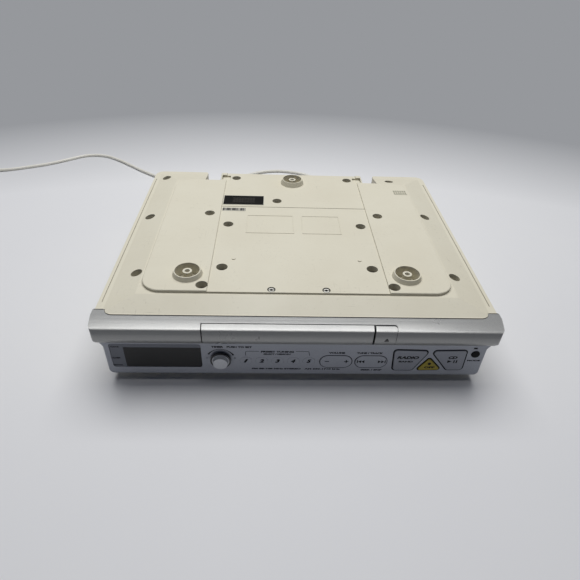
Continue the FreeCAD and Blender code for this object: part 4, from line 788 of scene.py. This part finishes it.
# Double arrows on the tuning rocker, each pair with a bar at its end: tips with their way, then bars
arrow_length, arrow_half = 2.6, 1.6
arrow_tips = ((48.0, 1), (50.6, 1), (69.2, -1), (66.6, -1))
arrow_bars = (47.2, 69.4)
arrow_bar = 0.8
face = front_of("tune_rocker")
tune_marks = []
for tip, way in arrow_tips:
    foot = tip + way * arrow_length
    tune_marks.append(face.patch([(tip, rocker_middle), (foot, rocker_middle - way * arrow_half),
                                  (foot, rocker_middle + way * arrow_half)]))
for left in arrow_bars:
    tune_marks.append(face.patch(block(left, left + arrow_bar, *ends_of(rocker_middle, arrow_half))))
printed("tune_marks", tune_marks, "tune_rocker")

# Large keys: their words, as on the panel and with a lean, and the signs for play, pause and off
radio_words = (("RADIO", 78.5, 96.1, 29.8, 3.2, 0.25), ("BAND", 80.5, 92.0, 25.3, 1.8))
face = front_of("radio_button")
printed("radio_marks", [face.words(*row) for row in radio_words], "radio_button")

disc_word = ("CD", 119.6, 126.8, 30.2, 3.0, 0.25)
play_left, play_tip, play_low, play_high = 119.6, 123.4, 24.1, 27.3
pause_lefts, pause_width = (124.5, 126.5), 1.1
face = front_of("cd_button")
play = [(play_left, play_low), (play_tip, (play_low + play_high) / 2), (play_left, play_high)]
pauses = [block(left, left + pause_width, play_low, play_high) for left in pause_lefts]
cd_marks = [face.words(*disc_word), *[face.patch(sign) for sign in (play, *pauses)]]
printed("cd_marks", cd_marks, "cd_button")

off_word = ("OFF", 102.2, 110.8, 18.9, 2.2)
dot_middle, dot_radius, dot_end, dot_points = (105.8, 23.0), 1.4, 345, 24
face = front_of("off_button")
off_marks = [face.patch(arc(dot_middle, dot_radius, 0, dot_end, dot_points)), face.words(*off_word)]
printed("off_marks", off_marks, "off_button")

# Open button: a triangle over a rule. Drawer's front: an upright line
open_left, open_right, open_rule = 63.8, 67.2, (52.0, 52.7)
open_low, open_tip = 53.2, 55.4
face = front_of("open_button")
triangle = [(open_left, open_low), (open_right, open_low), ((open_left + open_right) / 2, open_tip)]
open_marks = [face.patch(triangle), face.patch(block(open_left, open_right, *open_rule))]
printed("open_marks", open_marks, "open_button")

tray_line = [(-30.0, 53.4), (-30.0, 56.4)]
printed("tray_mark", [front_of("tray_front").line(tray_line, line_width)], "tray")

# Painted shade where the bar meets the cover: a dark strip standing in for the shadow in the seam, drawn
# round the cover's front corners
seam_shade_width = 0.7
cover_side, cover_front_half, cover_front_radius, bar_half = -112.5, 144.0, 6.0, 153.0
corner_points = 12
corner = arc((cover_front_half - cover_front_radius, cover_side), cover_front_radius, 0, -90, corner_points)
run_in = [(bar_half - seam_shade_width, cover_side), (cover_front_half + seam_shade_width, cover_side)]
seam_shade_right = np.vstack((run_in, corner))
seam_shade_path = np.vstack((seam_shade_right * (-1, 1), seam_shade_right[::-1]))
seam_shade_sheet = Sheet(TOP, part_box("front_bar")[1][2])
printed("bar_seam_shade", [seam_shade_sheet.line(seam_shade_path, seam_shade_width)], "case")

# Grey stamp on the cover: a rule below rows of small blocks
plateau_height = 75.0
stamp_left, stamp_low, stamp_pitch, stamp_tall = 106.4, 67.4, 2.3, 3.2
stamp_blocks, stamp_gap, stamp_rows, stamp_rule = 6, 0.5, (2.2, 6.2), 1.4
cover = Sheet(TOP, plateau_height * MM)
stamp_right = stamp_left + stamp_blocks * stamp_pitch
stamp_marks = [cover.patch(block(stamp_left, stamp_right, stamp_low, stamp_low + stamp_rule))]
for row in stamp_rows:
    for number in range(stamp_blocks):
        left = stamp_left + number * stamp_pitch
        low = stamp_low + row
        stamp_marks.append(cover.patch(block(left, left + stamp_pitch - stamp_gap, low, low + stamp_tall)))
printed("cover_stamp", stamp_marks, "case", grey_ink)


# Table, lamps and room

def looked_at(tree):
    """One for rays from the camera and those that a gloss or a glass sends on, and none for plain light."""
    rays = node(tree, "LightPath").outputs
    seen = reckon(tree, "MAXIMUM", rays["Is Camera Ray"], rays["Is Glossy Ray"])
    return reckon(tree, "MAXIMUM", seen, rays["Is Transmission Ray"])


def table_and_light():
    """A pale matt table that fades into a grey backdrop, a broad soft lamp, a strip in front and a dim room.

    The backdrop is the table's own surface and the room round it, seen by the camera and in reflections as
    an even grey. It starts where the distance back, plus a bow by the square of the distance aside, is large,
    and where the distance from the middle is.
    """
    mesh = bpy.data.meshes.new("table_top")
    square = block(-floor_half, floor_half, -floor_half, floor_half)
    mesh.from_pydata([(x, y, 0) for x, y in square], [], [(0, 1, 2, 3)])
    finish = Finish("table_pale", Roughness=0.6, Specular_IOR_Level=0.25)
    tree = finish.tree
    pale = blend(tree, finish.effect(PATCHES, floor_patch), tone(*floor_tone), tone(*floor_worn_tone))
    finish.feed("Base Color", pale)
    aside = reckon(tree, "MULTIPLY", finish.axis(0), finish.axis(0))
    run = reckon(tree, "ADD", finish.axis(1), reckon(tree, "MULTIPLY", aside, backdrop_bow))
    behind = spread(tree, run, backdrop_start, backdrop_end)
    around = spread(tree, distance(tree, finish.axis(0), finish.axis(1)), *table_fade)
    far = reckon(tree, "MAXIMUM", behind, around)
    glow = node(tree, "Emission", {"Color": tone(*backdrop_tone), "Strength": 1.0}).outputs[0]
    share = reckon(tree, "MULTIPLY", far, looked_at(tree))
    surface = node(tree, "MixShader", {0: share, 1: finish.shader.outputs[0], 2: glow}).outputs[0]
    tree.links.new(surface, tree.nodes["Material Output"].inputs["Surface"])
    mesh.materials.append(finish.material)
    table = bpy.data.objects.new("table_top", mesh)
    bpy.context.collection.objects.link(table)
    for name, (place, size, power) in lamps.items():
        data = bpy.data.lights.new(name, "AREA")
        data.shape = "RECTANGLE"
        data.size, data.size_y = size
        data.energy = power
        lamp = bpy.data.objects.new(name, data)
        lamp.location = place
        bpy.context.collection.objects.link(lamp)
    world = bpy.data.worlds.new("room")
    world.use_nodes = True
    tree = world.node_tree
    room = blend(tree, looked_at(tree), (*room_tone, 1), tone(*backdrop_tone))
    tree.links.new(room, tree.nodes["Background"].inputs["Color"])
    bpy.context.scene.world = world
    bpy.context.scene.view_settings.view_transform = "Standard"


table_and_light()
bpy.context.view_layer.update()
